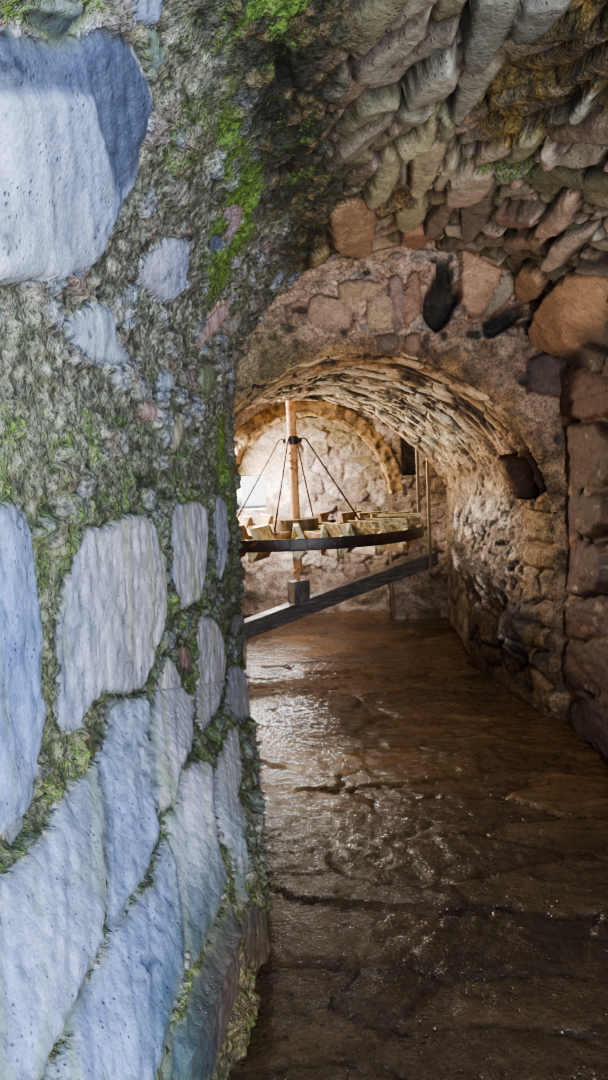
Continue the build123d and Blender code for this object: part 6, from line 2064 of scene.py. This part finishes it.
def timber(name, mat, bevel=0.003, cut=None, wob=0.0, sharp=32, grain=None, body="masonry", seg=2, spot=None, each=None):
    """A worn copy of a CAD piece: edges rounded, faces cut finer and made uneven."""
    src = NODES[name]
    bm = bmesh.new()
    bm.from_mesh(src.data)
    bm.transform(src.matrix_world)
    bmesh.ops.remove_doubles(bm, verts=bm.verts, dist=1e-5)
    bmesh.ops.dissolve_limit(bm, angle_limit=math.radians(1.0), verts=bm.verts, edges=bm.edges)
    if bevel:
        edges = [e for e in bm.edges if len(e.link_faces) == 2 and e.calc_face_angle(0.0) > math.radians(sharp)]
        bmesh.ops.bevel(bm, geom=edges, offset=bevel, segments=seg, profile=0.55, affect="EDGES", clamp_overlap=True)
    bmesh.ops.triangulate(bm, faces=bm.faces)
    if cut:
        for _ in range(7):
            long_ = [e for e in bm.edges if e.calc_length() > cut]
            if not long_:
                break
            bmesh.ops.subdivide_edges(bm, edges=long_, cuts=1)
            bmesh.ops.triangulate(bm, faces=[f for f in bm.faces if len(f.verts) > 3])
    bm.normal_update()
    me = bpy.data.meshes.new(name + "_worn")
    bm.to_mesh(me)
    bm.free()
    n = len(me.vertices)
    co = np.zeros(n * 3)
    me.vertices.foreach_get("co", co)
    co = co.reshape(-1, 3)
    nr = np.zeros(n * 3)
    me.vertices.foreach_get("normal", nr)
    nr = nr.reshape(-1, 3)
    g = grain(co) if grain else co * np.array([1.0, 1.0, 0.15])
    if wob:
        amount = 0.6 * fbm(g, 9, 3, 301) + 0.5 * fbm(g, 34, 3, 302, 0.6)
        co = co + nr * (wob * amount)[:, None]
        me.vertices.foreach_set("co", co.astype(np.float32).ravel())
    for f in me.polygons:
        f.use_smooth = True
    me.set_sharp_from_angle(angle=math.radians(42))
    a = me.attributes.new("grain", "FLOAT_VECTOR", "POINT")
    a.data.foreach_set("vector", g.astype(np.float32).ravel())
    for key, fn in (("spot", spot), ("each", each)):
        a = me.attributes.new(key, "FLOAT", "POINT")
        a.data.foreach_set("value", np.clip(fn(co, nr) if fn else np.full(n, 0.5 if key == "each" else 0.0), 0, 1).astype(np.float32))
    me.materials.append(mat)
    ob = bpy.data.objects.new(name + "_worn", me)
    bpy.context.scene.collection.objects.link(ob)
    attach(ob, body)
    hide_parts(name)
    return ob


def about(co):
    x, y = co[:, 0] - WX, co[:, 1] - WY
    return np.hypot(x, y), np.degrees(np.arctan2(x, -y))


def paddle_grain(co):
    r, phi = about(co)
    k = np.round((phi - 5.6) / 18.0)
    d = np.radians(phi - 5.6 - 18.0 * k)
    return np.stack([r * np.cos(d) * 0.10 + 3.1 * k, r * np.sin(d), co[:, 2]], -1)


def paddle_tone_and_shade(co, nr):
    r, phi = about(co)
    k = (np.round((phi - 5.6) / 18.0)).astype(np.int64) % 20
    v = rnd(k, k * 0 + 3, k * 0 + 1, 17)
    # painted shade: the paddles at the left front are made darker
    left = smooth(10, -30, phi) * smooth(-80, -40, phi)
    return np.clip(v * 0.7 + 0.35 - 0.6 * left, 0, 1)


def paddle_stain_and_shade(co, nr):
    r, phi = about(co)
    k = (np.round((phi - 5.6) / 18.0)).astype(np.int64) % 20
    v = rnd(k, k * 0 + 5, k * 0 + 2, 18)
    low = smooth(WZ - 0.03, WZ - 0.11, co[:, 2])
    inner = smooth(0.72, 0.60, r)
    # the ends and the hollow side are darkened, partly as wet and partly as painted shade; the outer side stays pale
    out = np.stack([co[:, 0] - WX, co[:, 1] - WY], -1) / np.maximum(r, 1e-6)[:, None]
    toward = -(nr[:, 0] * out[:, 0] + nr[:, 1] * out[:, 1])
    along = np.abs(nr[:, 1] * out[:, 0] - nr[:, 0] * out[:, 1])
    wet = np.maximum(0.75 * smooth(0.25, 0.7, toward), (0.15 + 0.55 * (v < 0.45)) * smooth(0.45, 0.85, along))
    v2 = rnd(k, k * 0 + 6, k * 0 + 4, 19)
    wet = np.maximum(wet, 0.42 * (v2 > 0.55) * smooth(0.3, 0.8, -toward))
    return np.clip(0.40 * (v > 0.70) + 0.40 * low + 0.45 * inner - 0.12 + wet, 0, 0.95)


timber("paddles", PADDLE, 0.006, 0.085, 0.0035, 30, paddle_grain, "wheel", 2, paddle_stain_and_shade, paddle_tone_and_shade)
timber("wheel_hub", OLD, 0.006, 0.06, 0.004, 35, lambda c: c * np.array([1, 1, 0.2]), "wheel", 2)
timber("rim_band", BLACK, 0.0022, 0.08, 0.0012, 50, None, "wheel", 2)
timber("band_lap_plate", BLACK, 0.0018, 0.03, 0.0010, 50, None, "wheel", 2)
timber("wheel_shaft", RUSTY, 0.003, 0.13, 0.0016, 50, None, "wheel", 2)
timber("shaft_pivot", RUSTY, 0.002, None, 0.0, 50, None, "wheel", 2)
timber("splice_bands", RUSTY, 0.003, 0.02, 0.0010, 50, None, "wheel", 2)
timber("rod_collar", BLACK, 0.003, 0.02, 0.0010, 50, None, "wheel", 2)
timber("tie_rods", RODS, 0.0, None, 0.0, 50, None, "wheel", 1)
timber("rod_feet", BLACK, 0.002, 0.03, 0.0008, 50, None, "wheel", 2)


def beam_grain(co):
    d = np.array([0.930 - WX, 2.400 - WY])
    d /= np.linalg.norm(d)
    x, y = co[:, 0] - WX, co[:, 1] - WY
    return np.stack([(x * d[0] + y * d[1]) * 0.09, -x * d[1] + y * d[0], co[:, 2]], -1)


timber("sole_tree", BEAM, 0.010, 0.13, 0.006, 35, beam_grain, "masonry", 2)
block = timber("sole_tree_block", STONE["deck_stone"], 0.022, 0.045, 0.010, 35, None, "masonry", 3)
bn = len(block.data.vertices)
bco = np.zeros(bn * 3)
block.data.vertices.foreach_get("co", bco)
bco = bco.reshape(-1, 3)
bt = mix(flat_colour(srgb(128, 112, 98), bn), srgb(166, 148, 132), smooth(-0.3, 0.4, fbm(bco, 9, 4, 311, 0.65)))
a = block.data.attributes.new("tint", "FLOAT_COLOR", "POINT")
a.data.foreach_set("color", np.concatenate([bt, np.ones((bn, 1))], 1).astype(np.float32).ravel())
for key, val in (("wet", 0.6), ("moss", 0.0), ("crumb", 0.4)):
    a = block.data.attributes.new(key, "FLOAT", "POINT")
    a.data.foreach_set("value", np.full(bn, val, np.float32))
timber("footstep_bearing", BEAM, 0.006, 0.04, 0.003, 35, None, "masonry", 2)
timber("deck_bush", OLD, 0.004, 0.05, 0.002, 35, None, "masonry", 2)
timber("lightening_straps", STRAP, 0.0012, 0.25, 0.0006, 35, None, "masonry", 2)
timber("lightening_bar", BLACK, 0.003, 0.05, 0.001, 35, None, "masonry", 2)


def bolts(name, places, body, mat, head=0.012, high=0.007, sides=6):
    """Small bolt heads with a washer, all in one mesh."""
    bm = bmesh.new()
    for pos, out, turn in places:
        out = Vector(out).normalized()
        rot = out.to_track_quat("Z", "Y").to_matrix().to_4x4()
        for r, h0, h1, k in ((head * 1.45, -0.002, 0.002, 20), (head, 0.001, high, sides)):
            m = Matrix.Translation(Vector(pos) + out * (h0 + h1) / 2) @ rot @ Matrix.Rotation(turn, 4, "Z")
            bmesh.ops.create_cone(bm, cap_ends=True, segments=k, radius1=r, radius2=r * 0.93, depth=h1 - h0, matrix=m)
    me = bpy.data.meshes.new(name)
    bm.to_mesh(me)
    bm.free()
    me.materials.append(mat)
    ob = bpy.data.objects.new(name, me)
    bpy.context.scene.collection.objects.link(ob)
    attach(ob, body)
    return ob


def on_wheel(radius, phi, z):
    a = math.radians(phi)
    return (WX + radius * math.sin(a), WY - radius * math.cos(a), z)


lap = []
for phi in (2.6, 7.7):
    for dz in (-0.022, 0.022):
        a = math.radians(phi)
        lap.append((on_wheel(1.0062, phi, WZ + dz), (math.sin(a), -math.cos(a), 0), 0.4 * phi))
bolts("hoop_bolts", lap, "wheel", BLACK, 0.0085, 0.0075)
pins = []
for k in range(20):
    phi = 5.6 + 18 * k
    if k in (0,):
        continue
    a = math.radians(phi)
    pins.append((on_wheel(1.0002, phi + 0.8, WZ + 0.004 * ((k * 7) % 5 - 2)), (math.sin(a), -math.cos(a), 0), 0.7 * k))
bolts("paddle_nails", pins, "wheel", BLACK, 0.0050, 0.0034, 10)
feet = []
for k in range(4):
    phi = -12.4 + 90 * k
    for off in (-0.030, 0.030):
        p_ = on_wheel(0.540 + off, phi, 1.1202)
        feet.append((p_, (0, 0, 1), 0.5 * k))
bolts("rod_foot_bolts", feet, "wheel", BLACK, 0.0075, 0.0070)
clamp = []
for z in (1.585, 1.640, 1.700):
    for phi in (-35.0, 145.0):
        a = math.radians(phi)
        clamp.append((on_wheel(0.0432, phi, z), (math.sin(a), -math.cos(a), 0), 0.3))
bolts("splice_bolts", clamp, "wheel", RUSTY, 0.0075, 0.012)

for node, ob in NODES.items():
    if node in MASONRY:
        continue
    slot = SLOT_OF.get(node)
    mat = {"old_wood": OLD, "paddle_wood": PADDLE, "rusty_iron": RUSTY, "dark_iron": BLACK, "deck_stone": STONE["deck_stone"]}.get(slot)
    if mat is not None:
        ob.data.materials.clear()
        ob.data.materials.append(mat)
clock("timber and iron")

# ------------------------------------------------------------------ light and ground


def area(name, loc, target, size, power, colour, size_y=None, spread=180.0):
    d = bpy.data.lights.new(name, "AREA")
    d.energy = power
    d.color = colour
    d.size = size
    d.spread = math.radians(spread)
    if size_y:
        d.shape = "RECTANGLE"
        d.size_y = size_y
    o = bpy.data.objects.new(name, d)
    bpy.context.scene.collection.objects.link(o)
    v = Vector(target) - Vector(loc)
    o.location = loc
    o.rotation_euler = v.to_track_quat("-Z", "Y").to_euler()
    o.visible_camera = False
    return o


area("sky_at_mouth", (1.1, -5.4, 2.2), (0.2, -0.8, 1.5), 2.0, 195.0, (0.58, 0.78, 1.0))
area("sky_low", (0.9, -4.6, 0.7), (0.5, -0.5, 2.3), 1.2, 52.0, (1.0, 0.94, 0.90))
area("throat_bounce", (0.85, -2.9, 0.75), (0.55, -0.3, 2.45), 0.6, 4.5, (1.0, 0.93, 0.86), None, 70.0)
area("chamber_left", (-1.20, 1.75, 1.80), (0.75, 0.60, 1.60), 0.5, 135.0, (1.0, 0.85, 0.66))
area("chamber_top", (-0.55, 1.9, 2.45), (-0.3, 1.4, 0.9), 0.5, 42.0, (1.0, 0.92, 0.80))
area("recess_glow", (-1.0, 2.75, 1.55), (-0.75, 3.4, 1.50), 0.16, 100.0, (1.0, 0.97, 0.93), None, 130.0)
area("inlet_day", (-0.75, 3.95, 1.5), (-0.6, 2.0, 1.2), 0.42, 24.0, (1.0, 0.98, 0.95), None, 70.0)
area("inlet_sky", (-0.75, 3.97, 1.5), (-0.6, 2.0, 1.2), 0.60, 2.6, (1.0, 0.98, 0.95)).visible_camera = True

# light that has gone round the vaults a few times adds little
bpy.context.scene.cycles.max_bounces = 5
bpy.context.scene.cycles.diffuse_bounces = 3
bpy.context.scene.cycles.glossy_bounces = 2

world = bpy.data.worlds.new("studio")
bpy.context.scene.world = world
world.use_nodes = True
bg = world.node_tree.nodes["Background"]
bg.inputs[0].default_value = (0.80, 0.84, 0.90, 1.0)
bg.inputs[1].default_value = 0.8

ground = bpy.data.meshes.new("floor_plane")
ground.from_pydata([(-40, -40, -0.002), (40, -40, -0.002), (40, 40, -0.002), (-40, 40, -0.002)], [], [(0, 1, 2, 3)])
ground_ob = bpy.data.objects.new("floor_plane", ground)
bpy.context.scene.collection.objects.link(ground_ob)
gm, gnt, gb = nodes_of("studio_floor")
gb.inputs["Base Color"].default_value = (0.62, 0.61, 0.59, 1.0)
gb.inputs["Roughness"].default_value = 0.9
ground.materials.append(gm)

scene = bpy.context.scene
scene.view_settings.view_transform = "AgX"
scene.view_settings.look = "AgX - Medium High Contrast"
scene.view_settings.exposure = 0.15

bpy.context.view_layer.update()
clock("done")
